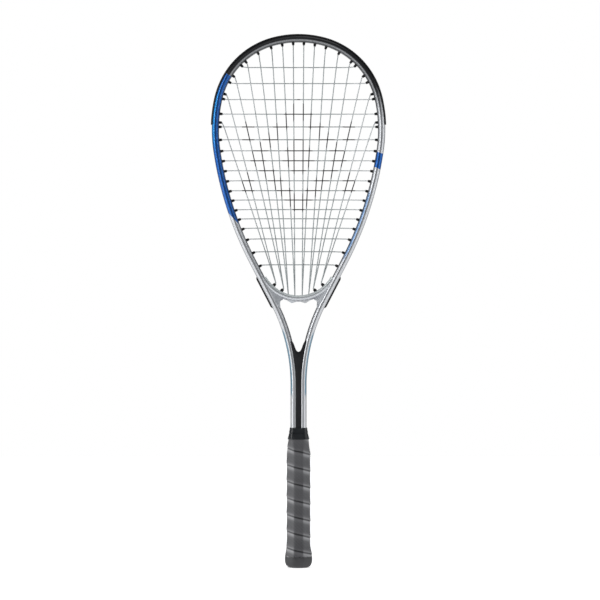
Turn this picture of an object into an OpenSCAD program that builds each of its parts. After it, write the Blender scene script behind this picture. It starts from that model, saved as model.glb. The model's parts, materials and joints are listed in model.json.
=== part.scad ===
// Squash racket with an open throat. A drawn aluminium tube is bent into the head and both legs,
// a moulded bridge closes the string bed, and the legs run side by side down into the handle.
// The butt rests on z = 0, the head points up (+Z), the string bed lies in the XZ plane and
// both hitting faces look along Y.

/* [Head outline] */
// Radius of the tube's centre line over the crown
crown_radius = 125.5; // [112:0.5:155]
// Direction in which the crown arc ends, measured from straight up
crown_angle = 14.6; // [8:0.1:22]
// Radius of the centre line round each shoulder
shoulder_radius = 98; // [80:0.5:120]
// Direction in which the shoulder arc ends
shoulder_angle = 77.6; // [70:0.1:84]
// Radius of the centre line along each side
side_radius = 182; // [145:1:230]
// Direction in which the side arc ends
side_angle = 98; // [94:0.1:102]
// Radius of the long arc below the widest point
lower_radius = 446; // [370:1:540]
// Direction of the straight stretch beside the throat
lower_angle = 117.4; // [115:0.1:119]
// Radius of the reverse bend from each leg into the shaft
leg_radius = 229; // [190:1:280]

/* [Tube] */
// Width of the frame tube in the plane of the strings
tube_w = 9.2; // [8:0.1:11]
// Depth of the frame tube across the string bed
tube_d = 18.5; // [16:0.1:23]
// Wall of the frame tube
tube_wall = 1.1; // [0.8:0.05:1.4]
// Width of the flat crest on the tube's front and back
crest_w = 2.6; // [1.5:0.1:3.5]
// Width of the string groove round the outside of the tube
groove_w = 6; // [5.4:0.1:7]
// Depth of the string groove
groove_d = 2.4; // [2.2:0.1:2.8]
// Gap between the two tubes where they run side by side
leg_gap = 2.2; // [1.5:0.1:4]

/* [Throat] */
// Height of the strung edge of the bridge above the point where the legs part
bridge_rise = 114.9; // [108:0.1:124]
// Height of the bridge bar at its middle
bridge_t = 8.4; // [7:0.1:10]
// Depth of the bridge bar
bridge_d = 17.2; // [15:0.1:18]
// Thickness of the lining where the bridge runs out along each leg
bridge_lining = 1.9; // [1.2:0.1:2.6]
// Depth of the web between the bridge bar and the leg
web_d = 10; // [8:0.5:13]
// Half of the throat opening's width at its top corners
opening_half_w = 24.4; // [22:0.1:26]
// Length of the bridge's foot along the inside of each leg, below the corner
foot_len = 6.5; // [4:0.1:9]
// Distances from the middle to the string holes in the bridge
bridge_holes = [4.7, 13.2, 22.1, 32.1]; // 4 values, each at least 8 more than the last
// Direction of the outer bridge holes, measured from straight up
throat_hole_angle = 138; // [134:0.5:142]
// Height of the wedge's crotch above the point where the legs part
crotch_rise = 42.3; // [36:0.1:48]
// Length of the wedge's arms above its crotch
arm_len = 14; // [8:0.5:18]
// Depth of the wedge between the tubes
wedge_d = 15.4; // [12:0.1:17]
// Overlap of the wedge on the bevel of each tube
wedge_lap = 1.8; // [1:0.1:2.4]

/* [Guards and grommets] */
// Thickness of the bumper guard outside the tube
bumper_t = 1.3; // [1:0.1:2]
// Direction in which the bumper guard ends on each side
bumper_angle = 88; // [87.7:0.1:88.1]
// Thickness of the throat strips outside the tube
throat_strip_t = 1.4; // [1:0.1:1.8]
// Length of each throat strip
throat_strip_len = 45; // [40:0.5:48]
// Thickness of the strips at the bottom of the groove
strip_floor = 0.8; // [0.6:0.05:1]
// Outer radius of a grommet barrel for one string
barrel_r = 1.5; // [1.3:0.05:1.6]
// Bore radius of a grommet barrel for one string
barrel_bore_r = 0.85; // [0.75:0.05:0.95]
// Outer radius of a grommet barrel for two strings
wide_barrel_r = 1.95; // [1.85:0.05:2.1]
// Bore radius of a hole for two strings
wide_bore_r = 1.45; // [1.4:0.05:1.5]
// Length of barrel that stands out inside the head
stub = 3.6; // [2.5:0.1:4.5]

/* [Strings] */
// Diameter of the string
string_d = 1.25; // [1.1:0.05:1.3]
// Directions in which the main strings' holes lie, on each side of the middle
main_angles = [3.3, 10.1, 17.9, 29.3, 41.3, 56.5, 72.5, 87]; // 8 rising values, 3 to 87
// Gaps between cross strings, from the crown down to the bridge
cross_gaps = [32.4, 20.6, 20.6, 18.7, 16.4, 16.4, 14.2, 12.8, 12.8, 12.9, 12.7, 12, 12.3, 11.8, 12.1,
    13.7, 16.5, 16.8, 39.2]; // 19 values, each 11 to 40

/* [Handle] */
// Height of the bottom edge of the grip wrap
grip_bottom = 14; // [12:0.5:18]
// Height at which the grip starts to taper in towards the shaft
taper_start = 146; // [120:1:180]
// Length of that taper
taper_len = 21; // [16:0.5:26]
// Half of the grip's width in the plane of the strings
grip_half_w = 15; // [14.4:0.1:18]
// Half of the grip's depth
grip_half_d = 13.2; // [12.8:0.1:16]
// Thickness of the grip wrap
grip_t = 1.8; // [1.4:0.1:2.4]
// Half of the butt end's width at its widest
butt_half_w = 17.6; // [16.5:0.1:21]
// Height of the butt cap
butt_h = 26; // [22:0.5:30]
// Height of the rubber collar
collar_h = 15; // [12:0.5:20]
// Wall of the rubber collar
collar_wall = 1.1; // [0.8:0.1:1.4]
// Length of bare shaft between the collar and the point where the legs part
shaft_len = 55.2; // [48:0.1:90]
// Diameter of the dowel that holds the tubes in the handle
dowel_d = 3; // [2:0.1:4]

/* [Hidden] */
$fa = 0.7;
$fs = 0.2;
// Clearance between pieces that fit together
fit = 0.05;
// Clearance between pieces that slide
slide_fit = 0.3;
half_w = tube_w / 2;
half_d = tube_d / 2;
leg_x = half_w + leg_gap / 2;
grip_top = taper_start + taper_len;
collar_top = grip_top - 2 + collar_h;
neck_z = collar_top + shaft_len;
legs_bottom = 12;
wedge_bottom = 90;
lean = lower_angle - 90;

// The outline is closed by the length of the straight stretch beside the throat. Arcs are listed
// as centre x, centre z, radius, first direction and last direction.
shoulder_cx = (crown_radius - shoulder_radius) * sin(crown_angle);
side_cx = shoulder_cx + (shoulder_radius - side_radius) * sin(shoulder_angle);
lower_cx = side_cx + (side_radius - lower_radius) * sin(side_angle);
straight_x = lower_cx + lower_radius * sin(lower_angle);
straight_len = (straight_x - leg_x - leg_radius * (1 - sin(lower_angle))) / sin(lean);
straight_z = neck_z + leg_radius * sin(lean) + straight_len * cos(lean);
lower_cz = straight_z - lower_radius * cos(lower_angle);
side_cz = lower_cz - (side_radius - lower_radius) * cos(side_angle);
shoulder_cz = side_cz - (shoulder_radius - side_radius) * cos(shoulder_angle);
crown_cz = shoulder_cz - (crown_radius - shoulder_radius) * cos(crown_angle);
arcs = [
    [0, crown_cz, crown_radius, 0, crown_angle],
    [shoulder_cx, shoulder_cz, shoulder_radius, crown_angle, shoulder_angle],
    [side_cx, side_cz, side_radius, shoulder_angle, side_angle],
    [lower_cx, lower_cz, lower_radius, side_angle, lower_angle],
];
overall_length = crown_cz + crown_radius + half_w + bumper_t;

// Foot of the offset curve's point at height z: centre-line x and z, and the outward direction.
function arc_at(z, d, k) =
    let (a = acos((z - arcs[k][1]) / (arcs[k][2] + d)))
    [arcs[k][0] + arcs[k][2] * sin(a), arcs[k][1] + arcs[k][2] * cos(a), a];
function arc_end_z(k, d) = arcs[k][1] + (arcs[k][2] + d) * cos(arcs[k][4]);
function line_at(z, d) =
    let (t = (straight_z + d * cos(lower_angle) - z) / cos(lean))
    [straight_x - t * sin(lean), straight_z - t * cos(lean), lower_angle];
function rim_at(z, d, k = 0) =
    k > 3 ? line_at(z, d) : z >= arc_end_z(k, d) ? arc_at(z, d, k) : rim_at(z, d, k + 1);
// The same foot for a direction instead of a height
function rim_to(a, k = 0) =
    a <= arcs[k][4] || k == 3
        ? [arcs[k][0] + arcs[k][2] * sin(a), arcs[k][1] + arcs[k][2] * cos(a), a]
        : rim_to(a, k + 1);
// A point that stands off the centre line by d, at depth y, on one side of the racket
function off(foot, d, y, side) =
    [side * (foot[0] + d * sin(foot[2])), y, foot[1] + d * cos(foot[2])];

// Bridge: its strung edge is an arc that runs out along both legs and ends in a small blunt step
bridge_z = neck_z + bridge_rise;
leg_in_x = line_at(bridge_z, 0)[0] - half_w / cos(lean);
bridge_r = (cos(lean) * leg_in_x - bridge_lining) / (1 - sin(lean));
bridge_cz = bridge_z + bridge_r;
bridge_span = 90 - lean - 2;
function bridge_top(x) = bridge_cz - sqrt(pow(bridge_r, 2) - pow(x, 2));
function bridge_under(x) = bridge_cz - sqrt(pow(bridge_r + bridge_t, 2) - pow(x, 2));
bridge_mid_hole = (bridge_holes[0] + bridge_holes[1]) / 2;
corner_r = 4;
corner_x = opening_half_w - corner_r;
corner_z = bridge_under(corner_x) - corner_r - 0.8;
foot_z = corner_z - foot_len;
hole_dir = [sin(throat_hole_angle), 0, cos(throat_hole_angle)];
function throat_hole_len(j) =
    let (
        x = bridge_holes[j],
        foot = line_at(bridge_z, 0),
        n = [sin(lower_angle), 0, cos(lower_angle)],
        gap = half_w - groove_d - (x - foot[0]) * n[0] - (bridge_top(x) - foot[1]) * n[2]
    )
    gap / (hole_dir * n);

// Strings: holes for mains and crosses lie on either side of the mid-plane
string_r = string_d / 2;
hole_y = string_r + 0.08;
groove_in = half_w - groove_d + fit;
channel_d = groove_in + strip_floor + string_r + fit;
channel_half = hole_y + string_r + 0.25;
tip_d = -half_w - stub;
bend_d = tip_d - 0.9;
weave = string_r + 0.02;
// Knots in the bumper guard stand in pockets, above the loops that pass
knot_r = string_r + 1.05;
knot_d = channel_d + 1.2;
knot_end = knot_d + 0.7;
MAINS = len(main_angles);
CROSSES = len(cross_gaps) - 1;
head_top = crown_cz + crown_radius - half_w;
function sum_to(list, n, i = 0) = i > n ? 0 : list[i] + sum_to(list, n, i + 1);
gap_scale = (head_top - bridge_z) / sum_to(cross_gaps, CROSSES);
function cross_z(k) = head_top - gap_scale * sum_to(cross_gaps, k);
function hole_of(i) = floor(i / 2);
function main_top(i) = off(rim_to(main_angles[i]), bend_d, 0, 1);
function main_bottom(i) =
    let (x = bridge_holes[hole_of(i)], rise = stub + 0.9)
    hole_of(i) < 2 ? [x, 0, bridge_top(x) + 0.9] : [x, 0, bridge_top(x)] - rise * hole_dir;
function main_x(i, z) =
    let (a = main_top(i), b = main_bottom(i))
    b[0] + (a[0] - b[0]) * (z - b[2]) / (a[2] - b[2]);
function crosses_main(i, k) = cross_z(k) < main_top(i)[2] - 2.5;
// The two mains that share a hole close up, so the cross between them stays flatter there
function sway(i, k) =
    let (pair = abs(main_x(i, cross_z(k)) - main_x(i + 1 - 2 * (i % 2), cross_z(k))))
    min(weave, 0.12 * pair);
function sign_at(i, k, side) = side * ((i + k) % 2 == 0 ? 1 : -1);

function main_run(i, side) =
    let (
        top = rim_to(main_angles[i]),
        y_low = hole_y * sign_at(i, CROSSES - 1, side),
        x = bridge_holes[hole_of(i)],
        hole_top = main_bottom(i),
        hole_end = hole_of(i) < 2
            ? [x, 0, bridge_under(x) - string_r - 0.1]
            : [x, 0, bridge_top(x)] + (throat_hole_len(hole_of(i)) + channel_d - groove_in) * hole_dir
    )
    concat(
        [off(top, channel_d, hole_y, side), off(top, bend_d, hole_y, side)],
        [for (k = [0:CROSSES - 1])
            if (crosses_main(i, k))
                [side * main_x(i, cross_z(k)), sign_at(i, k, side) * (2 * weave - sway(i, k)), cross_z(k)]],
        [[side * hole_top[0], y_low, hole_top[2]], [side * hole_end[0], y_low, hole_end[2]]]
    );
function flip(list) = [for (j = [len(list) - 1:-1:0]) list[j]];
// Loop in the outer channel from one main's hole to the next, bent round the frame
function main_loop(a, b, side) =
    [for (f = [0.2:0.2:0.8])
        off(rim_to(mix(main_angles[a], main_angles[b], f)), channel_d, hole_y, side)];
function half_main(side) =
    concat(
        main_run(0, side), flip(main_run(2, side)), main_loop(2, 1, side),
        main_run(1, side), flip(main_run(3, side)), main_loop(3, 4, side),
        main_run(4, side), flip(main_run(6, side)), main_loop(6, 5, side),
        main_run(5, side), flip(main_run(7, side)),
        [off(rim_to(main_angles[MAINS - 1]), knot_end, hole_y, side)]
    );
function main_route() =
    concat(flip(half_main(-1)), [off(rim_to(0), channel_d, hole_y, 1)], half_main(1));

function cross_half(k, side) =
    let (z = cross_z(k), foot = rim_at(z, bend_d))
    concat(
        [for (i = [0:MAINS - 1])
            if (crosses_main(i, k))
                [side * main_x(i, z), -sign_at(i, k, side) * sway(i, k), z]],
        [off(foot, bend_d, -hole_y, side), off(foot, channel_d, -hole_y, side)]
    );
function cross_run(k) = concat(flip(cross_half(k, -1)), cross_half(k, 1));
function cross_loop(k, side) =
    [for (f = [0.25, 0.5, 0.75])
        off(rim_at(mix(cross_z(k), cross_z(k + 1), f), bend_d), channel_d, -hole_y, side)];
function cross_route(k = 0) =
    k >= CROSSES ? [] : concat(
        k % 2 == 0 ? cross_run(k) : flip(cross_run(k)),
        k < CROSSES - 1 ? cross_loop(k, k % 2 == 0 ? 1 : -1) : [],
        cross_route(k + 1)
    );

// Tube swept along a route, as one closed polyhedron with mitred rings
SIDES = 6;
function unit(v) = v / norm(v);
function ring_at(path, j, r) =
    let (
        last = len(path) - 1,
        before = unit(path[max(j, 1)] - path[max(j, 1) - 1]),
        after = unit(path[min(j, last - 1) + 1] - path[min(j, last - 1)]),
        along = unit(before + after),
        across = unit(cross(along, [0, 1, 0])),
        up = cross(across, along),
        mitre = min(1.6, 1 / max(0.1, before * along))
    )
    [for (s = [0:SIDES - 1])
        path[j] + r * (mitre * cos(360 * s / SIDES) * across + sin(360 * s / SIDES) * up)];
module swept_string(path) {
    rings = len(path);
    points = [for (j = [0:rings - 1]) for (p = ring_at(path, j, string_r)) p];
    walls = [for (j = [0:rings - 2]) for (s = [0:SIDES - 1])
        let (t = (s + 1) % SIDES)
        [j * SIDES + s, j * SIDES + t, (j + 1) * SIDES + t, (j + 1) * SIDES + s]];
    first = [for (s = [SIDES - 1:-1:0]) s];
    final = [for (s = [0:SIDES - 1]) (rings - 1) * SIDES + s];
    polyhedron(points, concat([first], walls, [final]));
}

// Handle sections, as rings of eight points: half width, half depth, half of the front flat and
// half of the side flat
body_cut_w = 8.6;
body_cut_d = 7.2;
body_diag = norm([body_cut_w, body_cut_d]);
function grip_section(t) = [
    grip_half_w - grip_t + t,
    grip_half_d - grip_t + t,
    grip_half_w - grip_t - body_cut_w + t * (body_diag - body_cut_w) / body_cut_d,
    grip_half_d - grip_t - body_cut_d + t * (body_diag - body_cut_d) / body_cut_w,
];
function shaft_section(t) = [
    leg_x + half_w + t,
    half_d + t,
    leg_x + crest_w / 2 + 0.45 * t,
    half_d * 0.6 + 0.45 * t,
];
function mix(a, b, f) = a * (1 - f) + b * f;
function taper_section(t_body, t_shaft, z) =
    mix(grip_section(t_body), shaft_section(t_shaft), max(0, (z - taper_start) / taper_len));
function eight(s, z) = [
    [s[0], s[3], z], [s[2], s[1], z], [-s[2], s[1], z], [-s[0], s[3], z],
    [-s[0], -s[3], z], [-s[2], -s[1], z], [s[2], -s[1], z], [s[0], -s[3], z],
];
// Eight-sided body through a list of [height, section]. The four corner faces twist where the
// section changes, so each is two triangles that mirror the next corner's.
module loft(stack) {
    levels = len(stack);
    points = [for (l = stack) for (p = eight(l[1], l[0])) p];
    walls = [for (j = [0:levels - 2]) for (s = [0:7])
        let (t = (s + 1) % 8, low = j * 8, high = low + 8)
        each s % 2 == 1 ? [[low + s, high + s, high + t, low + t]]
            : s % 4 == 0 ? [[low + s, high + s, high + t], [low + s, high + t, low + t]]
            : [[low + s, high + s, low + t], [low + t, high + s, high + t]]];
    bottom = [for (s = [0:7]) s];
    top = [for (s = [7:-1:0]) (levels - 1) * 8 + s];
    polyhedron(points, concat([bottom], walls, [top]));
}

// Bent and straight stretches of the frame: the child profile has x outward and y across the bed.
// Each stretch runs a little past its ends and is cut back on the plane that its neighbour shares.
// Every second stretch is a hair thicker, so two stretches meet in a clear step.
past = 0.8;
seam_step = 0.01;
straight_top = [straight_x, straight_z, lower_angle];
straight_end = [leg_x + leg_radius * (1 - cos(lean)), neck_z + leg_radius * sin(lean), lower_angle];
neck = [leg_x, neck_z, 90];
module cut_at(foot, start) difference() {
    children();
    translate([foot[0], 0, foot[1]]) rotate([0, foot[2], 0]) translate([start, -20, -20])
        cube([20, 40, 40]);
}
module between(first, last) cut_at(first, -20) cut_at(last, 0) children();
module arc_run(arc, from, to) {
    more = past / arc[2] * 180 / PI;
    translate([arc[0], 0, arc[1]]) rotate([90, 0, 0]) rotate([0, 0, 90 - to - more])
        rotate_extrude(angle = to - from + 2 * more) translate([arc[2], 0]) children();
}
module side_run(k, to = 180) {
    last = min(to, arcs[k][4]);
    between(rim_to(arcs[k][3]), rim_to(last)) arc_run(arcs[k], arcs[k][3], last)
        offset(delta = k % 2 * seam_step) children();
}
module crown_run()
    cut_at(rim_to(crown_angle), 0) mirror([1, 0, 0]) cut_at(rim_to(crown_angle), 0)
        arc_run(arcs[0], -crown_angle, crown_angle) children();
module straight_run(from, to) {
    translate([straight_x, 0, straight_z]) rotate([0, lean, 0]) translate([0, 0, -to])
        linear_extrude(height = to - from) children();
}
module leg_run(bottom) {
    between(straight_top, straight_end) straight_run(-past, straight_len + past) children();
    between(straight_end, neck)
        arc_run([leg_x + leg_radius, neck_z, leg_radius], 270, 270 + lean)
            mirror([1, 0]) offset(delta = seam_step) children();
    cut_at(neck, -20) translate([leg_x, 0, bottom]) linear_extrude(height = neck_z + past - bottom)
        children();
}
// The space that a leg takes, for cutting the wedge to fit
module leg_space(bottom) {
    straight_run(-past, straight_len + past) tube_envelope(fit);
    arc_run([leg_x + leg_radius, neck_z, leg_radius], 270, 270 + lean)
        mirror([1, 0]) tube_envelope(fit);
    translate([leg_x, 0, bottom]) linear_extrude(height = neck_z + past - bottom)
        tube_envelope(fit);
}
module both() {
    children();
    mirror([1, 0, 0]) children();
}
// Cylinder along the outward direction, from depth d0 to d1 off the centre line
module spoke(foot, y, d0, d1, r) {
    translate([foot[0], y, foot[1]]) rotate([0, foot[2], 0]) translate([0, 0, d0])
        cylinder(r = r, h = d1 - d0);
}
module throat_spoke(j, r, before, after) {
    translate([bridge_holes[j], 0, bridge_top(bridge_holes[j])]) rotate([0, throat_hole_angle, 0])
        translate([0, 0, -before]) cylinder(r = r, h = before + throat_hole_len(j) + after);
}

bevel_y = half_d * 0.6;
module tube_envelope(grow = 0) {
    w = half_w + grow;
    d = half_d + grow;
    polygon([
        [w, bevel_y], [crest_w / 2, d], [-crest_w / 2, d], [-w + 0.5, bevel_y], [-w, bevel_y - 1],
        [-w, 1 - bevel_y], [-w + 0.5, -bevel_y], [-crest_w / 2, -d], [crest_w / 2, -d], [w, -bevel_y],
    ]);
}
module tube_profile() {
    void_out = half_w - groove_d - tube_wall;
    void_in = -half_w + tube_wall;
    void_y = half_d - 1.2 * tube_wall;
    difference() {
        tube_envelope();
        translate([half_w - groove_d, -groove_w / 2]) square([groove_d + 1, groove_w]);
        polygon([
            [void_out, void_y], [-crest_w / 3, void_y], [void_in, bevel_y - 0.6],
            [void_in, 0.6 - bevel_y], [-crest_w / 3, -void_y], [void_out, -void_y],
        ]);
    }
}
module frame_tube() color("silver") difference() {
    union() {
        crown_run() tube_profile();
        both() {
            for (k = [1:3]) side_run(k) tube_profile();
            leg_run(legs_bottom) tube_profile();
        }
    }
    both() {
        for (a = main_angles) spoke(rim_to(a), hole_y, -half_w - 2, half_w, barrel_r + fit);
        for (k = [0:CROSSES - 1])
            spoke(rim_at(cross_z(k), bend_d), -hole_y, -half_w - 2, half_w, barrel_r + fit);
        for (j = [2, 3]) throat_spoke(j, wide_barrel_r + fit, 0, groove_d + 2);
    }
    handle_dowel_bore();
}

// Moulded bridge
module bridge_section() {
    h = bridge_d / 2;
    polygon([
        [0, h * 0.62], [bridge_t * 0.3, h], [bridge_t * 0.5, h], [bridge_t, h * 0.6],
        [bridge_t, -h * 0.6], [bridge_t * 0.5, -h], [bridge_t * 0.3, -h], [0, -h * 0.62],
    ]);
}
module bridge_web() {
    leg_foot = line_at(foot_z, 0);
    leg_tip = line_at(bridge_cz - bridge_r * cos(bridge_span), 0);
    mid_r = bridge_r + bridge_t / 2;
    rotate([90, 0, 0]) linear_extrude(height = web_d, center = true) polygon(concat(
        [for (a = [90:-15:0]) [corner_x + corner_r * cos(a), corner_z + corner_r * sin(a)]],
        [[opening_half_w - 0.6, foot_z], [leg_foot[0], foot_z], [leg_tip[0], leg_tip[1]]],
        [for (a = [bridge_span:-8:26]) [mid_r * sin(a), bridge_cz - mid_r * cos(a)]]
    ));
}
module throat_bridge() color("lightgray") difference() {
    union() {
        translate([0, 0, bridge_cz]) rotate([90, 0, 0]) rotate([0, 0, 270 - bridge_span])
            rotate_extrude(angle = 2 * bridge_span) translate([bridge_r, 0]) bridge_section();
        both() {
            bridge_web();
            for (y = [-1, 1])
                translate([bridge_mid_hole, y * bridge_d / 3.4, bridge_under(bridge_mid_hole) + 0.9])
                    rotate([90, 0, 0]) cylinder(r = 2.9, h = bridge_d / 4.5, center = true);
        }
    }
    both() {
        straight_run(-past, straight_len + 10) tube_envelope(fit);
        for (j = [0, 1])
            translate([bridge_holes[j], 0, bridge_under(0) - 4])
                cylinder(r = wide_bore_r, h = bridge_t * 2 + 6);
        for (j = [2, 3]) throat_spoke(j, wide_barrel_r + fit, stub, 0);
    }
}
// Moulded wedge that fills the valley between the tubes
module throat_wedge() color("#1c1d21") difference() {
    lap_r = leg_radius + half_w - wedge_lap;
    arm_z = neck_z + crotch_rise + arm_len;
    arm_a = asin((arm_z - neck_z) / lap_r);
    side = [for (a = [0:arm_a / 8:arm_a + 0.01])
        [leg_x + leg_radius - lap_r * cos(a), neck_z + lap_r * sin(a)]];
    low = leg_x - half_w + wedge_lap;
    outline = concat([[low, wedge_bottom]], side);
    arm_x = side[8][0] - wedge_lap - 1;
    crotch_z = neck_z + crotch_rise;
    crotch_r = 2.6;
    rotate([90, 0, 0]) linear_extrude(height = wedge_d, center = true)
        polygon(concat(outline, flip([for (p = outline) [-p[0], p[1]]])));
    both() leg_space(wedge_bottom - 1);
    translate([0, 0, crotch_z + crotch_r]) rotate([90, 0, 0])
        cylinder(r = crotch_r, h = wedge_d + 2, center = true);
    rotate([90, 0, 0]) linear_extrude(height = wedge_d + 2, center = true) polygon([
        [crotch_r * 0.94, crotch_z + crotch_r * 0.66], [arm_x, arm_z], [arm_x, arm_z + 5],
        [-arm_x, arm_z + 5], [-arm_x, arm_z], [-crotch_r * 0.94, crotch_z + crotch_r * 0.66],
    ]);
}

// Bumper guard: cheeks over the tube's outer face, a tongue in the groove and an open channel
module strip_floor_profile(half) {
    translate([groove_in, -half]) square([strip_floor, 2 * half]);
}
module bumper_profile() {
    out = half_w + bumper_t;
    tongue = groove_w / 2 - fit;
    polygon([
        [groove_in, tongue], [half_w + fit, tongue], [half_w + fit, bevel_y],
        [half_w - 1.2, bevel_y + 1.7], [half_w - 0.4, bevel_y + 2.2], [out - 0.3, bevel_y],
        [out, bevel_y - 1], [out, channel_half], [groove_in + strip_floor, channel_half],
        [groove_in + strip_floor, -channel_half], [out, -channel_half], [out, 1 - bevel_y],
        [out - 0.3, -bevel_y], [half_w - 0.4, -bevel_y - 2.2], [half_w - 1.2, -bevel_y - 1.7],
        [half_w + fit, -bevel_y], [half_w + fit, -tongue], [groove_in, -tongue],
    ]);
}
module bumper_guard() color("#222222") difference() {
    union() {
        crown_run() bumper_profile();
        both() {
            side_run(1) bumper_profile();
            side_run(2, bumper_angle) bumper_profile();
            for (a = main_angles) spoke(rim_to(a), hole_y, tip_d, groove_in + 0.4, barrel_r);
            for (k = [0:CROSSES - 1])
                if (in_bumper(k))
                    spoke(rim_at(cross_z(k), bend_d), -hole_y, tip_d, groove_in + 0.4, barrel_r);
        }
    }
    both() {
        for (a = main_angles) spoke(rim_to(a), hole_y, tip_d - 1, groove_in + 2, barrel_bore_r);
        for (k = [0:CROSSES - 1])
            if (in_bumper(k))
                spoke(rim_at(cross_z(k), bend_d), -hole_y, tip_d - 1, groove_in + 2, barrel_bore_r);
        knot_pocket(rim_to(main_angles[MAINS - 1]), hole_y);
    }
    mirror([1, 0, 0]) knot_pocket(rim_at(cross_z(0), bend_d), -hole_y);
}
module knot_pocket(foot, y) {
    spoke(foot, y, channel_d + 0.6, half_w + bumper_t + 1, knot_r + fit);
}
function in_bumper(k) = rim_at(cross_z(k), bend_d)[2] < bumper_angle - 0.6;

// Side strips lie in the groove below the bumper guard
module side_strip() {
    strip_half = groove_w / 2 - 2 * fit;
    tail = (straight_z - cross_z(CROSSES - 1)) / cos(lean) + 6;
    difference() {
        union() {
            between(rim_to(bumper_angle + 0.2), rim_to(side_angle))
                arc_run(arcs[2], bumper_angle + 0.2, side_angle) strip_floor_profile(strip_half);
            side_run(3) strip_floor_profile(strip_half);
            cut_at(straight_top, -20) straight_run(-past, tail) strip_floor_profile(strip_half);
            for (k = [0:CROSSES - 1])
                if (!in_bumper(k))
                    spoke(
                        rim_at(cross_z(k), bend_d), -hole_y, tip_d, groove_in + strip_floor, barrel_r
                    );
        }
        for (k = [0:CROSSES - 1])
            if (!in_bumper(k))
                spoke(rim_at(cross_z(k), bend_d), -hole_y, tip_d - 1, groove_in + 2, barrel_bore_r);
    }
}
module grommet_strip_right() color("#1a1a1a") side_strip();
module grommet_strip_left() color("#1a1a1a") mirror([1, 0, 0]) side_strip();

// Throat strips carry the two wide barrels on each side through the leg and the bridge
module throat_strip() {
    strip_half = groove_w / 2 - fit;
    out = half_w + throat_strip_t;
    cheek = bevel_y - 0.8;
    first = throat_exit(2) + 4 * wide_barrel_r - throat_strip_len;
    difference() {
        union() {
            straight_run(first, first + throat_strip_len) polygon([
                [groove_in, strip_half], [half_w + fit, strip_half], [half_w + fit, cheek],
                [out, cheek - 0.9], [out, 0.9 - cheek], [half_w + fit, -cheek],
                [half_w + fit, -strip_half], [groove_in, -strip_half],
            ]);
            for (j = [2, 3]) throat_spoke(j, wide_barrel_r, stub, 0.4);
        }
        straight_run(first + 4, first + throat_strip_len - 4)
            translate([groove_in + strip_floor, -channel_half]) square([10, 2 * channel_half]);
        for (j = [2, 3]) throat_spoke(j, wide_bore_r, stub + 1, 8);
        for (e = [first, first + throat_strip_len])
            translate([straight_x, 0, straight_z]) rotate([0, lean, 0])
                translate([out + 1.2, 0, -e]) rotate([90, 0, 0])
                    rotate([0, 0, 45]) cube([2.6, 2.6, 20], center = true);
        arc_run([leg_x + leg_radius, neck_z, leg_radius], 270, 270 + lean) mirror([1, 0])
            difference() {
                tube_envelope(fit);
                translate([half_w - groove_d, -groove_w / 2]) square([groove_d + 1, groove_w]);
            }
    }
}
// Distance of a wide barrel's exit below the top of the straight stretch
function throat_exit(j) =
    let (x = bridge_holes[j], p = [x, 0, bridge_top(x)] + throat_hole_len(j) * hole_dir)
    (straight_x - p[0]) * sin(lean) + (straight_z - p[2]) * cos(lean);
module throat_strip_right() color("#1a1a1a") throat_strip();
module throat_strip_left() color("#1a1a1a") mirror([1, 0, 0]) throat_strip();

// Strings, each one length with a knot at both ends
module knot(foot, d, y, side) {
    translate(off(foot, d, y, side)) rotate([0, side * foot[2], 0]) rotate_extrude()
        translate([knot_r - 0.5, 0]) circle(r = 0.5);
}
module main_string() color("gainsboro") {
    swept_string(main_route());
    for (side = [-1, 1]) knot(rim_to(main_angles[MAINS - 1]), knot_d, hole_y, side);
}
module cross_string() color("whitesmoke") {
    first = rim_at(cross_z(0), bend_d);
    swept_string(concat([off(first, knot_end, -hole_y, -1)], cross_route()));
    knot(first, knot_d, -hole_y, -1);
    knot(rim_at(cross_z(CROSSES - 1), bend_d), channel_d - 0.1, -hole_y, -1);
}

// Handle
shell_top = taper_start + taper_len * 0.75;
shell_bottom = 6;
module shell(side) {
    difference() {
        loft([
            [shell_bottom, grip_section(0)],
            [taper_start, grip_section(0)],
            [shell_top, taper_section(0, 0.85, shell_top)],
        ]);
        translate([-50, side > 0 ? -50 : -fit, 0]) cube([100, 50 + fit, shell_top + 1]);
        loft([[legs_bottom - 0.5, shaft_section(fit)], [shell_top + 1, shaft_section(fit)]]);
        handle_dowel_bore();
        butt_staples(fit);
    }
}
module handle_shell_back() color("#3a3a3c") shell(1);
module handle_shell_front() color("#3a3a3c") mirror([0, 1, 0]) shell(1);
dowel_z = 70;
module handle_dowel_bore() {
    translate([0, 0, dowel_z]) rotate([0, 90, 0])
        cylinder(d = dowel_d + 2 * fit, h = 2 * grip_half_w, center = true);
}
module handle_dowel() color("gray") {
    translate([0, 0, dowel_z]) rotate([0, 90, 0])
        cylinder(d = dowel_d, h = 2 * (grip_half_w - grip_t) - 1, center = true);
}
plug_h = 8;
module leg_plugs() color("#505050") both() {
    void_in = half_w - tube_wall - fit;
    void_out = half_w - groove_d - tube_wall - fit;
    translate([leg_x - void_in, -bevel_y + 1, legs_bottom])
        cube([void_in + void_out, 2 * bevel_y - 2, plug_h]);
}

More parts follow.
